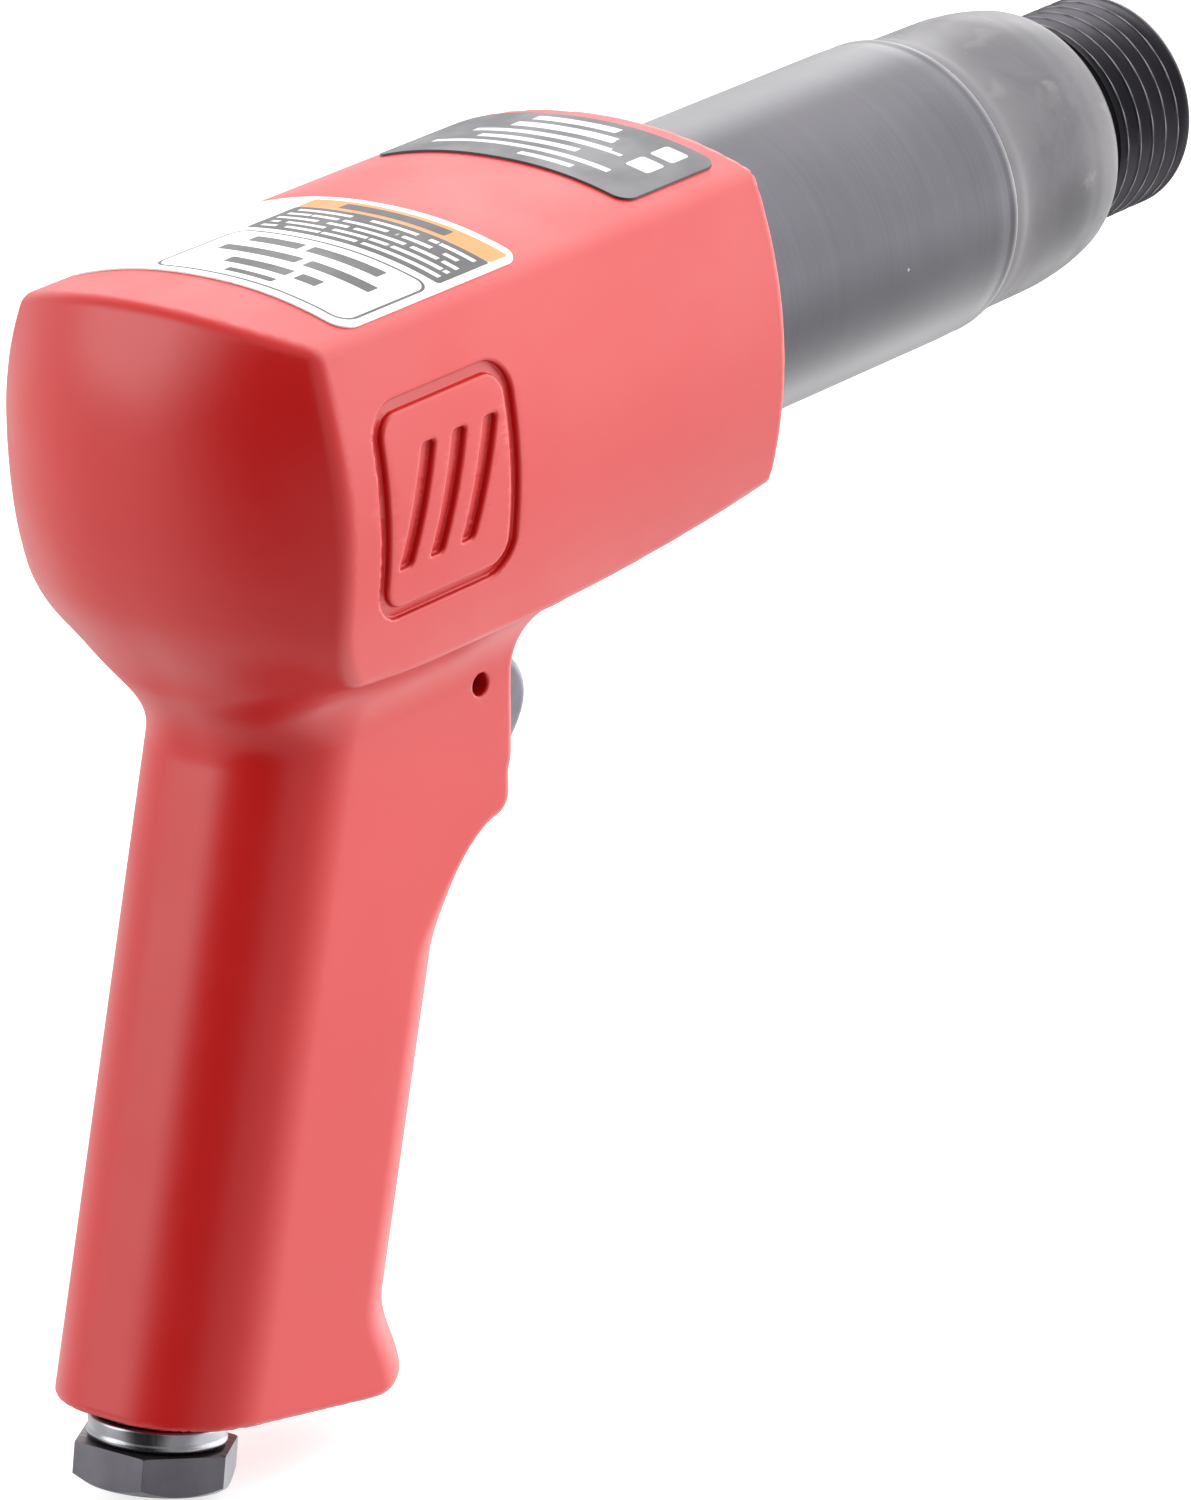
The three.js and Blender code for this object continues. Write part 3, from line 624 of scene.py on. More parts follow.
def blackened_steel():
    """The oiled black sleeve, turned on a lathe, with a painted highlight along its rolled front edge.
    """
    shader = Shader("blackened_steel", roughness=0.22, metallic=0.75)
    turning = shader.noise(1, detail=3, vector=shader.stretched(5200, 18))
    cloud = shader.noise(38, detail=5, distortion=0.6)
    base = shader.drift(cloud, 0.25, 0.75, srgb(49, 49, 54), srgb(58, 57, 62))
    base = shader.mix(shader.spread(turning, 0.3, 0.7, 0.0, 0.08), base, srgb(100, 99, 103))
    bright = shader.times(shader.specks(240, 0.04, 0.04), 0.5)
    base = shader.mix(bright, base, srgb(180, 180, 183))
    behind, away = shader.barrel_place()
    rolled_edge = -SLEEVE_HIGH[0] + 0.45
    from_edge = shader.math("ABSOLUTE", shader.minus(behind, rolled_edge))
    # painted highlight: a pale band round the outside of the rolled front edge, for the bright line of
    # light along it
    painted_edge_highlight = shader.times(shader.spread(from_edge, 0.75, 0.2), shader.spread(cloud, 0.2, 0.6, 0.35, 0.85))
    painted_edge_highlight = shader.times(painted_edge_highlight, shader.spread(away, 19.9, 20.2))
    shader.colour(shader.mix(painted_edge_highlight, base, srgb(98, 97, 98)))
    shader.roughness(shader.spread(cloud, 0.2, 0.8, 0.19, 0.27))
    shader.bump(turning, 0.000002, 0.4)
    return shader.material


def nose_steel():
    """Blotched dark steel, with a paler grey painted between the crests of the nose thread to lift the
    shade in their roots.
    """
    shader = Shader("nose_steel", roughness=0.36, metallic=0.75)
    cloud = shader.noise(55, detail=6, roughness=0.62, distortion=1.1)
    patch = shader.noise(120, detail=4, distortion=0.8)
    base = shader.drift(cloud, 0.35, 0.65, srgb(56, 55, 58), srgb(74, 72, 75))
    base = shader.mix(shader.spread(patch, 0.58, 0.78, 0.0, 0.5), base, srgb(104, 100, 98))
    bright = shader.times(shader.specks(260, 0.05, 0.06), 0.7)
    base = shader.mix(bright, base, srgb(200, 196, 188))
    behind, away = shader.barrel_place()
    # painted light: a paler grey in the roots of the nose thread, to lift the shade that falls there
    groove = shader.times(shader.spread(behind, THREAD_END + 0.9, THREAD_END + 0.4),
                          shader.spread(behind, 0.9, 1.5))
    groove = shader.times(groove, shader.spread(away, 14.8, 14.5))
    shader.colour(shader.mix(groove, base, srgb(84, 82, 88)))
    shader.roughness(shader.spread(cloud, 0.3, 0.7, 0.3, 0.46))
    shader.bump(patch, 0.00001, 0.5)
    return shader.material


def plain_metal(name, dark, light, roughness, metallic=1.0, grain=0.000004):
    """Machined metal with fine marks across it and a little colour drift."""
    shader = Shader(name, roughness=roughness, metallic=metallic)
    cloud = shader.noise(70, detail=4)
    marks = shader.noise(1, detail=2, vector=shader.stretched(2600, 240))
    shader.colour(shader.drift(cloud, 0.3, 0.7, dark, light))
    shader.roughness(shader.spread(marks, 0.25, 0.75, roughness * 0.8, roughness * 1.25))
    shader.bump(marks, grain, 0.6)
    return shader.material


def rubber():
    shader = Shader("rubber", roughness=0.75, specular=0.35)
    grain = shader.noise(1500, detail=2)
    shader.colour(shader.drift(grain, 0.3, 0.7, srgb(24, 24, 25), srgb(40, 40, 41)))
    shader.roughness(shader.spread(grain, 0.3, 0.7, 0.68, 0.85))
    shader.bump(grain, 0.00001, 0.5)
    return shader.material


def screen_wire():
    shader = Shader("brass_screen", roughness=0.4, metallic=1.0)
    weave = shader.node("TexBrick", {
        "Vector": shader.place, "Scale": 900, "Color1": srgb(196, 160, 92),
        "Color2": srgb(176, 140, 74), "Mortar": srgb(52, 40, 22)})
    shader.colour(weave.outputs["Color"])
    shader.roughness(shader.spread(shader.noise(300), 0.3, 0.7, 0.35, 0.5))
    shader.bump(weave.outputs["Fac"], -0.0001, 0.6)
    return shader.material


# ---- printed plates: masks in plate millimetres ----
# a = distance behind the muzzle, b = distance to the left of the barrel axis
class PlateShader(Shader):
    """Adds printed shapes to a shader. All of them are plain bars, boxes and discs."""

    def __init__(self, name, roughness, ground):
        super().__init__(name, roughness)
        self.a, self.b, _ = self.tool_place()
        self.print = ground

    def box_distance(self, centre, half, corner):
        """Distance from the edge of a rounded box, negative inside it."""
        parts = []
        for value, middle, reach in zip((self.a, self.b), centre, half):
            parts.append(self.minus(self.math("ABSOLUTE", self.minus(value, middle)), reach - corner))
        squares = [self.math("POWER", self.math("MAXIMUM", part, 0), 2) for part in parts]
        outer = self.math("SQRT", self.math("ADD", *squares))
        inner = self.math("MINIMUM", self.math("MAXIMUM", *parts), 0)
        return self.minus(self.math("ADD", outer, inner), corner)

    def between(self, a0, a1, b0, b1, corner):
        centre, half = ((a0 + a1) / 2, (b0 + b1) / 2), ((a1 - a0) / 2, (b1 - b0) / 2)
        return self.box_distance(centre, half, corner)

    def box(self, a0, a1, b0, b1, corner=0.1):
        return self.spread(self.between(a0, a1, b0, b1, corner), 0.05, -0.05)

    def outline(self, a0, a1, b0, b1, corner, width):
        away = self.math("ABSOLUTE", self.between(a0, a1, b0, b1, corner))
        return self.spread(away, width / 2 + 0.05, width / 2 - 0.05)

    def disc(self, a, b, radius):
        return self.spread(self.box_distance((a, b), (radius, radius), radius), 0.06, -0.06)

    def strokes(self, pitch, breaks, gap):
        """Bars along b in rows of the given pitch, broken into plain blocks by noise."""
        row = self.math("FLOOR", self.math("DIVIDE", self.a, pitch))
        spot = self.node("CombineXYZ", {0: self.times(self.b, breaks), 1: self.times(row, 7.3)})
        value = self.noise(1.0, detail=1.0, vector=spot.outputs[0])
        return self.spread(value, gap - 0.01, gap + 0.01)

    def rows(self, start, pitch, height):
        """Stripes along b: 1 within a stripe of the given height, at every pitch from start."""
        part = self.math("FRACT", self.math("DIVIDE", self.minus(self.a, start), pitch))
        edge = height / pitch / 2
        return self.spread(self.math("ABSOLUTE", self.minus(part, edge)), edge + 0.02, edge - 0.02)

    def ink(self, mask, colour):
        self.print = self.mix(mask, self.print, colour)


def label_print():
    """The white film: an orange bar, rows of fine strokes, a framed block of bars and three discs."""
    white, dark = srgb(238, 238, 236), srgb(34, 34, 38)
    orange, blue = srgb(232, 122, 32), srgb(200, 214, 232)
    shader = PlateShader("label_white", 0.42, white)
    shader.ink(shader.box(154.7, 158.3, -21.3, 9.4, 0.5), orange)
    shader.ink(shader.box(155.5, 157.5, -13.5, 3.5, 0.3), dark)
    shader.ink(shader.box(158.3, 168.2, -21.3, 9.4, 0.5), dark)
    fine = shader.times(shader.box(159, 167.8, -20.2, 8.4), shader.rows(159.3, 1.75, 0.75))
    fine = shader.times(fine, shader.strokes(1.75, 0.42, 0.4))
    shader.ink(fine, srgb(214, 212, 204))
    shader.ink(shader.outline(169.6, 185.9, -21.2, 9.3, 2.2, 0.45), dark)
    for a0, b0, b1, break_at in ((171.4, -16, 4.6, -4), (175.5, -18, 6, -7), (179.6, -13, 1.5, -9)):
        shader.ink(shader.box(a0, a0 + 2.1, b0, break_at - 0.6, 0.25), dark)
        shader.ink(shader.box(a0, a0 + 2.1, break_at + 0.6, b1, 0.25), dark)
    shader.ink(shader.box(183.2, 184.5, -8.5, -1, 0.2), dark)
    for a in (159.6, 170.4, 181.2):
        shader.ink(shader.disc(a, 15.8, 4.5), blue)
        shader.ink(shader.box(a - 2.6, a + 2.6, 15.1, 16.5, 0.6), white)
    shader.colour(shader.print)
    shader.roughness(shader.spread(shader.noise(90), 0.3, 0.7, 0.36, 0.5))
    shader.bump(shader.noise(260, detail=2), 0.00001, 0.4)
    return shader.material


def plate_print():
    """The dark plate: rows of pale strokes and two small boxes."""
    shader = PlateShader("plate_dark", 0.42, srgb(58, 58, 63))
    pale = srgb(205, 205, 208)
    for a0, height, b0, b1 in ((113.0, 1.7, -6.5, 7), (116.0, 1.9, -8.5, 8), (119.4, 1.3, -12, 12),
                               (122.2, 1.3, -7, 9), (124.9, 1.1, -14, 14.5), (127.3, 1.1, -10, -1.5)):
        bar = shader.box(a0, a0 + height, b0, b1, 0.15)
        shader.ink(shader.times(bar, shader.strokes(3.0, 0.24, 0.38)), pale)
    shader.ink(shader.box(113.4, 117.0, -17.4, -13.8, 0.5), pale)
    shader.ink(shader.box(118.4, 122.0, -17.4, -13.8, 0.5), pale)
    shader.colour(shader.print)
    shader.roughness(shader.spread(shader.noise(120), 0.3, 0.7, 0.34, 0.48))
    shader.bump(shader.noise(300, detail=2), 0.000008, 0.4)
    return shader.material


# ---- pieces ----
# Finishes, each a slot of the record with its material
PAINT = ("red_paint", red_paint())
BLACK = ("blackened_steel", blackened_steel())
NOSE = ("nose_steel", nose_steel())
BRIGHT = ("bright_steel", plain_metal("bright_steel", srgb(168, 170, 174), srgb(196, 197, 199), 0.24))
DARK = ("dark_steel", plain_metal("dark_steel", srgb(82, 80, 86), srgb(104, 102, 108), 0.34,
                                  metallic=0.9, grain=0.000008))
PLATED = ("plated_steel", plain_metal("plated_steel", srgb(112, 113, 118), srgb(142, 142, 146), 0.24))
BRASS = ("brass", plain_metal("brass", srgb(172, 134, 66), srgb(196, 160, 92), 0.3))
RUBBER = ("rubber", rubber())
SCREEN = ("brass", screen_wire())


def housing_piece():
    """The casting. The mesh is finer round the emblem and the pin hole."""
    coarse, fine, fine_depth = 0.85, 0.34, 0.22
    low, high = HOUSING_LOW - 1.5, HOUSING_HIGH + (1.6, 1.5, 1.5)
    xs = axis_levels(low[0], high[0], coarse, fine, ((-189, -149),))
    ys = axis_levels(low[1], high[1], coarse, fine_depth, ((-28.2, -24.5),))
    pin_heights, emblem_heights = (PIN_Z - 2.6, PIN_Z + 2.6), (-15.2, 13.6)
    zs = axis_levels(low[2], high[2], coarse, fine, (pin_heights, emblem_heights))
    made = field_piece("housing_casting", housing_field, xs, ys, zs, keep=0.5)
    finish_piece(made, PAINT, "handle_housing")


def thread_shift(back, angle, radius):
    """How far the surface drops below the crests of the nose thread at a point of it."""
    if not THREAD_FRONT <= back <= THREAD_END or radius < THREAD_CREST - 0.01:
        return 0.0
    turns = (back - THREAD_START) / THREAD_PITCH - angle / (2 * math.pi)
    beside = abs(2 * (turns % 1) - 1)
    flank = min(1, max(0, (0.9 - beside) / 0.75))
    drop = THREAD_DEPTH * (0.55 * flank + 0.45 * math.sin(flank * math.pi / 2))
    fade = smoothstep(back, THREAD_FRONT, 2.9) * (1 - smoothstep(back, 16.4, THREAD_END))
    return -drop * float(fade)


def arc(centre, radius, start, end, steps):
    """Points of an arc in the (back, radius) plane, from angles in degrees."""
    angles = [math.radians(start + (end - start) * k / steps) for k in range(steps + 1)]
    return [(centre[0] + radius * math.cos(a), centre[1] + radius * math.sin(a)) for a in angles]


def smooth_curve(knots, steps):
    """A smooth curve through (back, radius) knots."""
    knots = np.array(knots, float)
    before = 2 * knots[0] - knots[1]
    after = 2 * knots[-1] - knots[-2]
    line = np.vstack([before, knots, after])
    curve = []
    for i in range(1, len(line) - 2):
        p0, p1, p2, p3 = line[i - 1:i + 3]
        for k in range(steps):
            t = k / steps
            curve.append(0.5 * (2 * p1 + (p2 - p0) * t + (2 * p0 - 5 * p1 + 4 * p2 - p3) * t**2
                                + (3 * p1 - p0 - 3 * p2 + p3) * t**3))
    return [tuple(p) for p in curve] + [tuple(knots[-1])]


def cylinder_piece():
    """The barrel: threaded nose, rounded head, a waist under the sleeve, and the bore with its ports.
    Its outline runs from the bore's mouth over the outside to the rear and back through the bore."""
    seam = -SLEEVE_HIGH[0] - 0.12
    land, waist, bore, shank_bore = 17.3, 14.2, 9.5, 5.1
    tail = -tool_box("cylinder")[0][0]
    outline = [(0.9, shank_bore), (0.35, 5.35), (0, 5.9), (0, 12.9)]
    outline += [(0.12, 13.4), (0.35, 13.75), (THREAD_FRONT - 0.25, 14.78)]
    outline += [(back, THREAD_CREST) for back in np.arange(THREAD_FRONT, THREAD_END, 0.14)]
    outline += [(THREAD_END, 14.4), (17.75, 13.4), (17.9, 12.8), (20.45, 12.8), (20.6, 13.0)]
    outline += [(20.6, 15.75), (20.72, 16.15), (20.95, 16.55)]
    outline += smooth_curve([(21.5, 17.2), (23, 18.1), (26.6, 18.85), (29, 19.15), (32, 19.38),
                             (38, 19.45), (42, 19.52), (45, 19.75), (47, 20.12), (seam, 20.3)], 5)
    outline += [(seam, land), (51.5, land), (54.5, waist), (135, waist), (135, land), (138, land)]
    outline += [(138.8, 16), (tail - 0.6, 16), (tail, 15.4), (tail, 10.1), (tail - 0.6, bore)]
    outline += [(37, bore), (34, shank_bore)]
    points, faces = revolve(outline, 176, thread_shift)
    made = solid_piece("cylinder_body", points, faces, 34)
    port_x, port_radius, reach = -96, 2.2, 20
    angles = [math.pi / 2 * (turn + 0.5) for turn in range(4)]
    ends = [(port_x, reach * math.sin(angle), reach * math.cos(angle)) for angle in angles]
    apply_cut(made, [rod_mesh(port_radius, (port_x, 0, 0), end) for end in ends])
    finish_piece(made, NOSE, "cylinder")


def sleeve_piece():
    """The exhaust sleeve, with a shallow rolled bead behind its front edge."""
    front, back, radius, inner = -SLEEVE_HIGH[0], -SLEEVE_LOW[0], SLEEVE_RADIUS, 17.6
    bead = ((0, 20.22), (0.1, 20.42), (0.35, 20.52), (0.8, 20.5), (1.5, 20.42), (2.2, 20.46),
            (3.4, 20.56))
    outline = [(front, inner + 0.2)] + [(front + behind, away) for behind, away in bead]
    outline += [(front + 5, radius), (back - 0.3, radius), (back, radius - 0.3), (back, inner + 0.2)]
    outline += [(back - 0.2, inner), (front + 0.2, inner)]
    turned_piece("exhaust_sleeve", "barrel_sleeve", BLACK, outline, 192, sharp=40)


def rest_span(node):
    """Where a node begins and ends behind the muzzle, and its radius."""
    low, high = tool_box(node)
    return -high[0], -low[0], (high[1] - low[1]) / 2


def turned_piece(name, node, finish, outline, sides=72, left=0.0, up=0.0, body="housing", sharp=30):
    """A piece turned about an axis that lies this far left of and above the barrel's."""
    points, faces = revolve(outline, sides)
    made = solid_piece(name, points + (0, left, up), faces, sharp)
    finish_piece(made, finish, node, body=body)


def eased(front, back, outer, inner, edge=0.4, steps=3):
    """A ring's outline with its outer edges rounded."""
    outline = [(front, inner)] + arc((front + edge, outer - edge), edge, 180, 90, steps)
    return outline + arc((back - edge, outer - edge), edge, 90, 0, steps) + [(back, inner)]


def pin_outline(front, back, radius):
    """A solid pin's outline with its edges rounded."""
    return [(front, 0)] + eased(front, back, radius, 0, 0.3)[1:-1] + [(back, 0)]


def piston_piece():
    front, back, radius = rest_span("piston")
    outline = [(front, 0), (front, 4.6), (front + 0.25, 5.1), (front + 0.8, 5.4), (front + 4, 5.8)]
    outline += [(front + 5, radius - 0.3), (front + 5.3, radius)]
    for groove in (front + 9, front + 14, back - 8):
        outline += [(groove, radius), (groove + 0.25, radius - 0.35), (groove + 1, radius - 0.35),
                    (groove + 1.25, radius)]
    outline += [(back - 0.8, radius), (back - 0.2, radius - 0.5), (back, radius - 1.1), (back, 0)]
    turned_piece("piston_hammer", "piston", BRIGHT, outline, 96, body="piston")


def valve_chest_pieces():
    """The floating disc, the gasket behind the chest and the two dowels through it."""
    disc = eased(*rest_span("valve_disc"), 2, 0.35)
    turned_piece("valve_flapper", "valve_disc", BRIGHT, disc, body="valve_disc")
    turned_piece("rear_gasket_ring", "rear_gasket", RUBBER, eased(*rest_span("rear_gasket"), 11, 0.3))
    for side in ("left", "right"):
        node = "dowel_pin_" + side
        low, high = tool_box(node)
        turned_piece("dowel_" + side, node, BRIGHT, pin_outline(*rest_span(node)), 32,
                     left=(low[1] + high[1]) / 2)


def throttle_pieces():
    """The stem with its head and seal, which move, and the ring round their bushing."""
    front, back, radius = rest_span("throttle_stem")
    head = back - 1.8
    stem = [(front, 0), (front, 0.7), (front + 0.3, 1.4), (front + 0.8, 1.85), (front + 1.4, 2)]
    stem += [(head - 2.3, 2), (head - 2.1, 2.2), (head - 2.1, 4.1), (head - 1.8, radius)]
    stem += [(head - 0.3, radius), (head, radius - 0.3), (head, 1.7), (back - 0.3, 1.7)]
    stem += [(back, 1.4), (back, 0)]
    turned_piece("throttle_pin", "throttle_stem", BRIGHT, stem, 48, up=VALVE_HEIGHT, body="throttle")
    seal = eased(*rest_span("throttle_stem_seal"), 2.3, 0.25)
    turned_piece("throttle_seal", "throttle_stem_seal", RUBBER, seal, 48, up=VALVE_HEIGHT,
                 body="throttle")
    front, back, radius = rest_span("throttle_bushing_ring")
    section = (back - front) / 2
    ring = arc(((front + back) / 2, radius - section), section, 0, 330, 11)
    turned_piece("bushing_ring", "throttle_bushing_ring", RUBBER, ring, 48, up=VALVE_HEIGHT)


def throttle_coil_piece():
    """The conical spring between the throttle pin's head and the end of its bore."""
    wire, turns, narrow, wide = 0.4, 3.5, 2.6, 3.8
    steps, sides = 140, 14
    front, back, _ = rest_span("throttle_spring")
    points = []
    for step in range(steps + 1):
        along = step / steps
        angle = 2 * math.pi * turns * along
        x = -(front + wire + (back - front - 2 * wire) * along)
        for k in range(sides):
            around = 2 * math.pi * k / sides
            r = narrow + (wide - narrow) * along + wire * math.cos(around)
            points.append((x + wire * math.sin(around), r * math.cos(angle),
                           r * math.sin(angle) + VALVE_HEIGHT))
    made = solid_piece("throttle_coil", points, tube_faces(steps + 1, sides))
    finish_piece(made, BRIGHT, "throttle_spring")
    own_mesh(made)


def quadratic(start, control, end, steps):
    """Points of a curve from start, pulled towards control, without the start itself."""
    start, control, end = (np.array(p, float) for p in (start, control, end))
    parts = [k / steps for k in range(1, steps + 1)]
    return [(1 - t) ** 2 * start + 2 * t * (1 - t) * control + t**2 * end for t in parts]


def polygon_distance(px, pz, corners):
    """Signed distance from a closed outline."""
    px, pz = np.broadcast_arrays(np.asarray(px, float), np.asarray(pz, float))
    nearest = np.full(px.shape, 1e9)
    inside = np.zeros(px.shape, bool)
    for (ax, az), (bx, bz) in zip(corners, np.roll(corners, -1, axis=0)):
        dx, dz = bx - ax, bz - az
        part = np.clip(((px - ax) * dx + (pz - az) * dz) / (dx * dx + dz * dz), 0, 1)
        nearest = np.minimum(nearest, np.hypot(px - ax - part * dx, pz - az - part * dz))
        crossing = (az > pz) != (bz > pz)
        if dz != 0:
            inside ^= crossing & (px < (pz - az) / dz * dx + ax)
    return np.where(inside, -nearest, nearest)


def trigger_piece():
    """The lever: an outline in (distance behind the muzzle, height), rounded all round, with an eye
    for the pin."""
    pin = np.array([-PIN_X, PIN_Z])
    edge, half_width, eye = 1.5, 6.8, 1.7
    angles = np.linspace(0, 0.7 * math.pi, 12)
    outline = [pin + 2.6 * np.array([math.cos(a), math.sin(a)]) for a in angles]
    outline += quadratic(outline[-1], (145, -34), (140.8, -38.2), 12)
    outline += quadratic(outline[-1], (138.4, -41.4), (141.2, -44.8), 12)
    outline += quadratic(outline[-1], (146, -50), (151.2, -53.2), 12)
    outline += quadratic(outline[-1], (153.6, -54.2), (154.4, -51.6), 8)
    outline += quadratic(outline[-1], (156.8, -45), (157, -38.6), 8)
    corners = np.array(outline) * (-1, 1)

    def field(x, y, z):
        flat = polygon_distance(x, z, corners)
        lateral = np.abs(y) - (half_width - edge)
        outside = np.hypot(np.maximum(flat, 0), np.maximum(lateral, 0))
        slab = outside + np.minimum(np.maximum(flat, lateral), 0) - edge
        return cut(slab, np.hypot(x - PIN_X, z - PIN_Z) - eye, 0.2)

    low, high = tool_box("trigger")
    levels = [axis_levels(low[k] - 0.6, high[k] + 0.6, 0.32) for k in range(3)]
    made = field_piece("trigger_lever", field, *levels, normal_reach=0.12)
    finish_piece(made, DARK, "trigger", body="trigger")


def trigger_pin_piece():
    low, high = tool_box("trigger_pin")
    outline = pin_outline(low[1], high[1], (high[0] - low[0]) / 2)
    points, faces = revolve([(-y, radius) for y, radius in outline], 40)
    x, y, z = points.T
    points = np.stack([y + PIN_X, x, z + PIN_Z], axis=1)
    finish_piece(solid_piece("trigger_pivot_pin", points, faces), DARK, "trigger_pin")


# Distances below the grip's base face, and radii, in millimetres
HEX_TOP, HEX_BOTTOM, HEX_APOTHEM, HEX_TURN = 4.6, 9.8, 9.525, 0.04
HEX_UPPER_CONE, HEX_LOWER_CONE, NECK_RADIUS, MOUTH_RADIUS = 10.75, 9.3, 7.3, 6.5
INLET_HOLE, AIR_HOLE, HOLE_END, BUSHING_END = 5.6, 4.6, -2.0, -11.0
INLET_THREAD_PITCH, INLET_THREAD_DEPTH, INLET_THREAD_RINGS = 1.41, 0.6, 64


def hex_bushing():
    """The inlet bushing: a hexagon with turned chamfers, a neck above it and a threaded hole."""
    sides = 180
    steps = np.arange(sides) * 2 * math.pi / sides
    angles = steps - math.pi / 2 + HEX_TURN
    hexagon = HEX_APOTHEM / np.cos((steps % (math.pi / 3)) - math.pi / 6)
    upper_start = HEX_TOP + np.maximum(0, hexagon - HEX_UPPER_CONE) * 0.7
    lower_start = HEX_BOTTOM - np.maximum(0, hexagon - HEX_LOWER_CONE) / 1.5
    chamfer_end = HEX_BOTTOM - 0.75
    rings = [(BUSHING_END, NECK_RADIUS - 0.5), (BUSHING_END + 0.5, NECK_RADIUS)]
    rings += [(HEX_TOP - 0.2, NECK_RADIUS), (HEX_TOP, NECK_RADIUS + 0.2)]
    rings += [(HEX_TOP, np.minimum(hexagon, HEX_UPPER_CONE)), (upper_start, hexagon)]
    rings += [(lower_start, hexagon), (HEX_BOTTOM, np.minimum(hexagon, HEX_LOWER_CONE))]
    rings += [(HEX_BOTTOM, MOUTH_RADIUS), (chamfer_end, INLET_HOLE)]
    for k in range(1, INLET_THREAD_RINGS):
        below = chamfer_end - (chamfer_end - HOLE_END) * k / INLET_THREAD_RINGS
        phase = (below / INLET_THREAD_PITCH - steps / (2 * math.pi)) % 1
        depth = INLET_THREAD_DEPTH * min(1, k / 6, (INLET_THREAD_RINGS - k) / 6)
        rings.append((below, INLET_HOLE + depth * (1 - np.abs(2 * phase - 1))))
    rings += [(HOLE_END, INLET_HOLE), (HOLE_END, AIR_HOLE), (BUSHING_END, AIR_HOLE)]
    even = np.ones(sides)
    points = np.concatenate([
        np.stack([radius * np.cos(angles), radius * np.sin(angles), -below * even], axis=1)
        for below, radius in rings])
    faces = tube_faces(len(rings), sides, closed=True)
    made = solid_piece("inlet_hex_bushing", at_inlet(points), faces, 24)
    weld(made)
    ease_edges(made, 0.14, 28)
    finish_piece(made, DARK, "inlet_bushing")


def weld(made):
    """Joins points that fall together, and drops the faces that vanish with them."""
    mesh = bmesh.new()
    mesh.from_mesh(made.data)
    bmesh.ops.remove_doubles(mesh, verts=mesh.verts, dist=0.000004)
    bmesh.ops.dissolve_degenerate(mesh, edges=mesh.edges, dist=0.000001)
    mesh.to_mesh(made.data)
    mesh.free()


def inlet_piece(name, node, finish, outline, sides):
    """A piece turned about the inlet axis, from (distance below the base face, radius) pairs."""
    points, faces = revolve(outline, sides)
    finish_piece(solid_piece(name, at_inlet(points[:, ::-1]), faces, 40), finish, node)


def inlet_pieces():
    hex_bushing()
    collar = [(1.4, 7.6), (1.4, 8.35), (1.5, 8.6), (1.7, 8.78), (2.0, 8.85)]
    collar += [(3.1, 8.72), (3.35, 8.74), (3.5, 8.84), (3.75, 8.9), (4.05, 8.86), (4.25, 8.7)]
    collar += [(4.3, 8.5), (4.3, 7.6)]
    inlet_piece("inlet_plated_collar", "inlet_collar", PLATED, collar, 128)
    washer = [(0.3, 7.6), (0.3, 8.1), (0.4, 8.25), (0.7, 8.3), (1.0, 8.25), (1.1, 8.1), (1.1, 7.6)]
    inlet_piece("inlet_seal_washer", "inlet_seal", RUBBER, washer, 96)
    cup = [(-1.7, 0), (-1.7, 4.3), (-1.45, 4.75), (-0.9, 4.95), (1.5, 5.2), (1.5, 4.7), (-0.9, 4.45)]
    cup += [(-1.1, 4.2), (-1.2, 3.9), (-1.2, 0)]
    inlet_piece("inlet_screen_cup", "inlet_screen", SCREEN, cup, 72)


def top_plate(name, node, finish, corner, thickness, lift=0.02):
    """A thin plate with rounded corners, bent over the crowned top and lifted a little off it."""
    low, high = tool_box(node)
    half_width = high[1]
    across = np.linspace(-1, 1, 41)
    ends = corner * (1 - np.cos(np.linspace(0, math.pi / 2, 9)))
    along = np.concatenate([low[0] + ends, [(low[0] + high[0]) / 2], (high[0] - ends)[::-1]])
    points, faces = [], []
    for layer in (lift, lift + thickness):
        for x in along:
            near = min(x - low[0], high[0] - x)
            inset = corner - math.sqrt(corner**2 - max(0, corner - near) ** 2)
            for part in across:
                y = part * (half_width - inset)
                points.append((x, y, float(crown_height(y)) + layer))
    rows, columns = len(along), len(across)
    size = rows * columns
    for i in range(rows - 1):
        for j in range(columns - 1):
            a, b = i * columns + j, i * columns + j + 1
            c, d = b + columns, a + columns
            faces += [[size + a, size + b, size + c, size + d], [d, c, b, a]]
    border = list(range(columns)) + [i * columns + columns - 1 for i in range(1, rows)]
    border += [(rows - 1) * columns + j for j in range(columns - 2, -1, -1)]
    border += [i * columns for i in range(rows - 2, 0, -1)]
    for k, a in enumerate(border):
        b = border[(k + 1) % len(border)]
        faces.append([a, b, size + b, size + a])
    finish_piece(solid_piece(name, points, faces, 40), finish, node)


def carried_over(node, finish, edge):
    """Keeps a CAD node, with eased edges and a finished material."""
    kept = frame["nodes"][node]
    kept.data.materials.clear()
    kept.data.materials.append(finish[1])
    kept.data.polygons.foreach_set("use_smooth", [True] * len(kept.data.polygons))
    kept.data.set_sharp_from_angle(angle=math.radians(32))
    ease_edges(kept, edge, 40)


# ---- studio ----
CAMERA_PLACE = Vector((-0.88375, -0.7246, 0.483183))
HEADING, PITCH, ROLL = (math.radians(angle) for angle in (39.563, -20.007, -3.131))
LENS, SENSOR = 223.7, 36.0


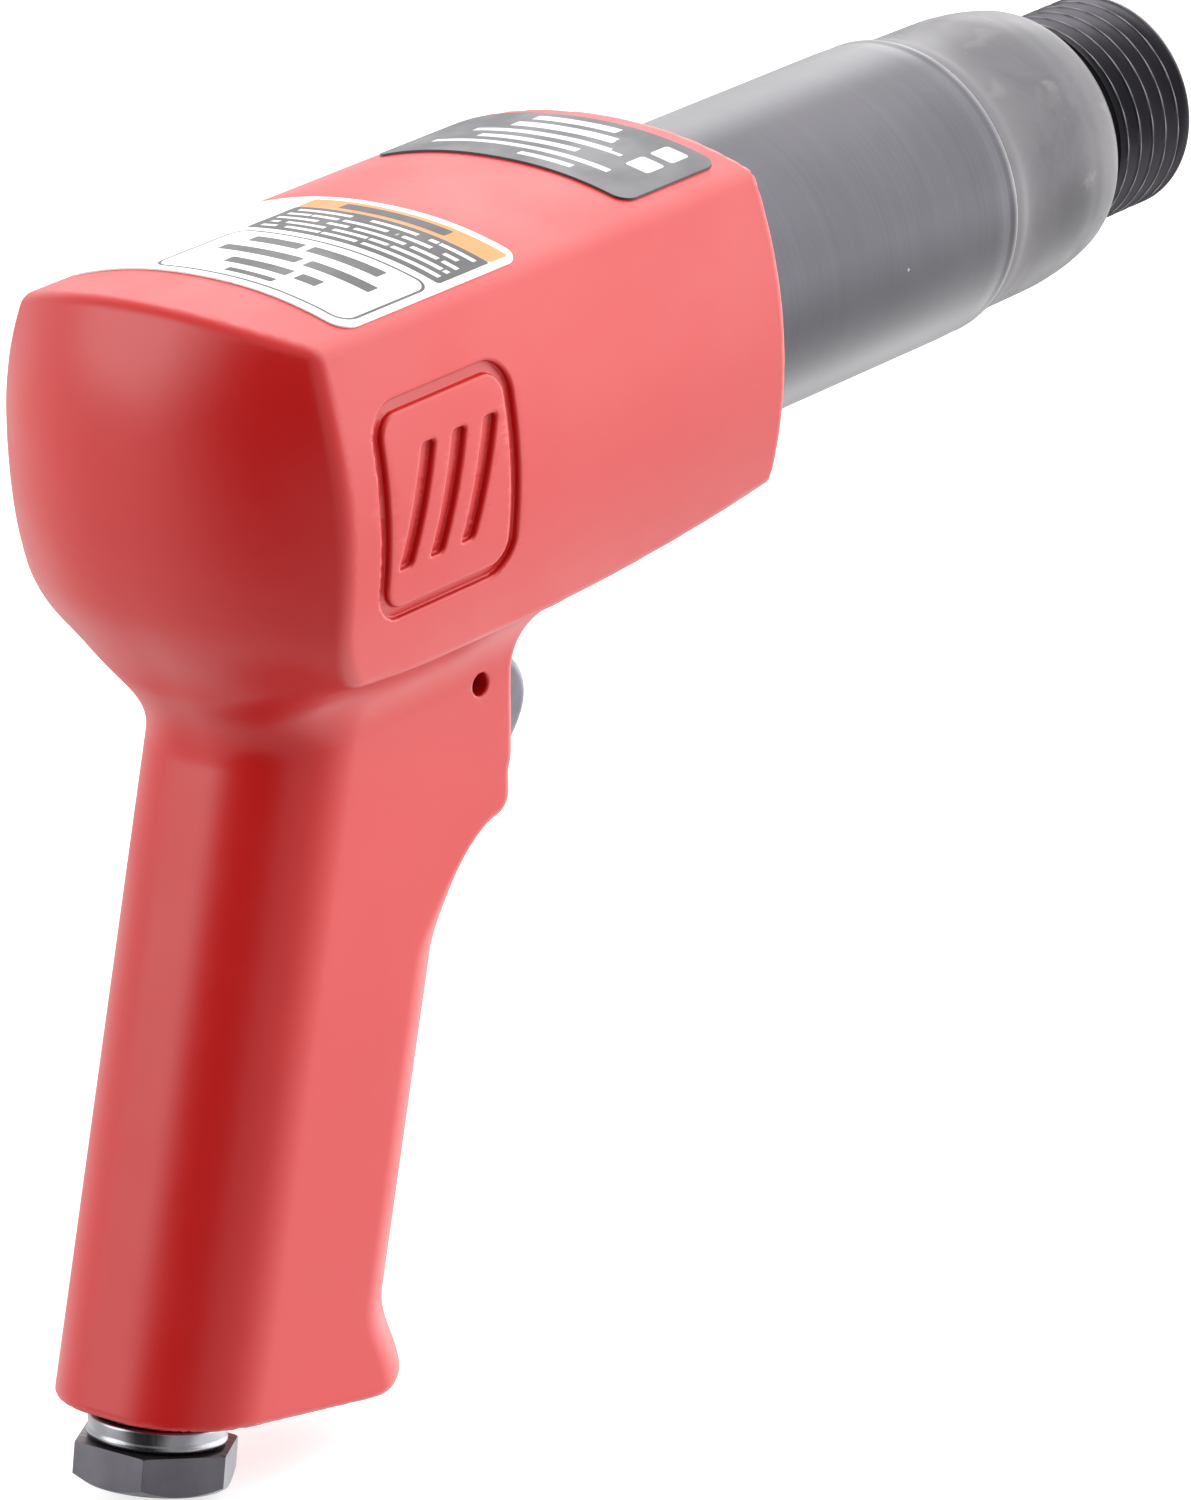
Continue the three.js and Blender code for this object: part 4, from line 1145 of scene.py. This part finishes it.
def add_camera():
    """A long lens behind and to the right of the tool, above it. The heading is turned from +x."""
    data = bpy.data.cameras.new("camera")
    data.sensor_width = SENSOR
    data.lens = LENS
    data.clip_start, data.clip_end = 0.05, 50
    camera = bpy.data.objects.new("camera", data)
    turn = Matrix.Rotation(HEADING - math.pi / 2, 4, "Z")
    turn = turn @ Matrix.Rotation(math.pi / 2 + PITCH, 4, "X") @ Matrix.Rotation(ROLL, 4, "Z")
    camera.matrix_world = Matrix.Translation(CAMERA_PLACE) @ turn
    bpy.context.scene.collection.objects.link(camera)
    bpy.context.scene.camera = camera


# Soft lights of the studio: direction, brightness, cosine where it starts, cosine where it is full
TENT = 0.87
LOBES = (
    ((0.85, -0.20, 0.45), 2.5, 0.50, 0.82),     # broad window in front
    ((0.75, -0.35, 0.56), 1.3, 0.80, 0.97),     # its brightest part
    ((0.60, 0.66, 0.28), 0.6, 0.86, 0.98),      # its left end
    ((0.66, -0.45, -0.60), 1.35, 0.55, 0.88),  # light table in front and on the right
    ((-0.69, 0.54, 0.48), 3.6, 0.88, 0.97),     # softbox behind and to the left
    ((-0.45, 0.80, -0.40), 0.5, 0.40, 0.90),    # glow of the table on the left
)
SHADE_DIRECTION, SHADE_DEPTH = (-0.92, -0.37, 0.14), 0.93
SHADE_START, SHADE_FULL = 0.74, 0.93


def studio_world():
    """A pale tent with soft bright panels and a dark side. What the camera sees of it is white."""
    world = bpy.data.worlds.new("studio")
    world.use_nodes = True
    tree = Nodes(world.node_tree)
    tree.nodes.clear()
    place = tree.node("TexCoord").outputs["Generated"]

    def lobe(direction, start, full):
        inputs = {0: place, 1: Vector(direction).normalized()}
        aim = tree.node("VectorMath", inputs, operation="DOT_PRODUCT")
        return tree.spread(aim.outputs["Value"], start, full)

    shade = tree.times(lobe(SHADE_DIRECTION, SHADE_START, SHADE_FULL), SHADE_DEPTH)
    total = tree.times(tree.minus(1.0, shade), TENT)
    for direction, brightness, start, full in LOBES:
        total = tree.math("ADD", total, tree.times(lobe(direction, start, full), brightness))
    studio = tree.node("Background", {"Strength": total, "Color": (1.0, 0.99, 1.0)})
    backdrop = tree.node("Background", {"Color": (1, 1, 1)})
    is_camera_ray = tree.node("LightPath").outputs["Is Camera Ray"]
    choose = tree.node("MixShader", {0: is_camera_ray, 1: studio.outputs[0], 2: backdrop.outputs[0]})
    tree.node("OutputWorld", {"Surface": choose.outputs[0]})
    bpy.context.scene.world = world


def pale_floor():
    """A round pale floor under the tool, which glows a little so that shadows on it stay light."""
    sides, reach = 96, 3.0
    ring = [(reach * math.cos(2 * math.pi * k / sides), reach * math.sin(2 * math.pi * k / sides), 0)
            for k in range(sides)]
    mesh = bpy.data.meshes.new("floor")
    mesh.from_pydata(ring, [], [list(range(sides))])
    floor = bpy.data.objects.new("floor", mesh)
    bpy.context.scene.collection.objects.link(floor)
    shader = Shader("floor", roughness=0.8, specular=0.1)
    grain = shader.noise(6, detail=2)
    shader.colour(shader.mix(grain, (0.50, 0.50, 0.50), (0.54, 0.54, 0.54)))
    shader.put((1, 1, 1), shader.surface.inputs["Emission Color"])
    shader.put(0.7, shader.surface.inputs["Emission Strength"])
    mesh.materials.append(shader.material)
    floor.visible_glossy = False
    floor.visible_diffuse = False


def build():
    add_camera()
    studio_world()
    pale_floor()
    housing_piece()
    cylinder_piece()
    sleeve_piece()
    piston_piece()
    valve_chest_pieces()
    throttle_pieces()
    throttle_coil_piece()
    trigger_piece()
    trigger_pin_piece()
    inlet_pieces()
    top_plate("safety_label_plate", "safety_label", ("label_white", label_print()), 2.6, 0.22)
    top_plate("rating_plate_sheet", "rating_plate", ("plate_dark", plate_print()), 2.2, 0.3)
    carried_over("valve_block", BRIGHT, 0.2)
    carried_over("valve_cap", BRIGHT, 0.2)
    carried_over("throttle_bushing", BRASS, 0.15)
    carried_over("cylinder_lock_screw", DARK, 0.15)
    bpy.context.scene.view_settings.view_transform = "Standard"
    bpy.context.scene.view_settings.look = "None"


build()
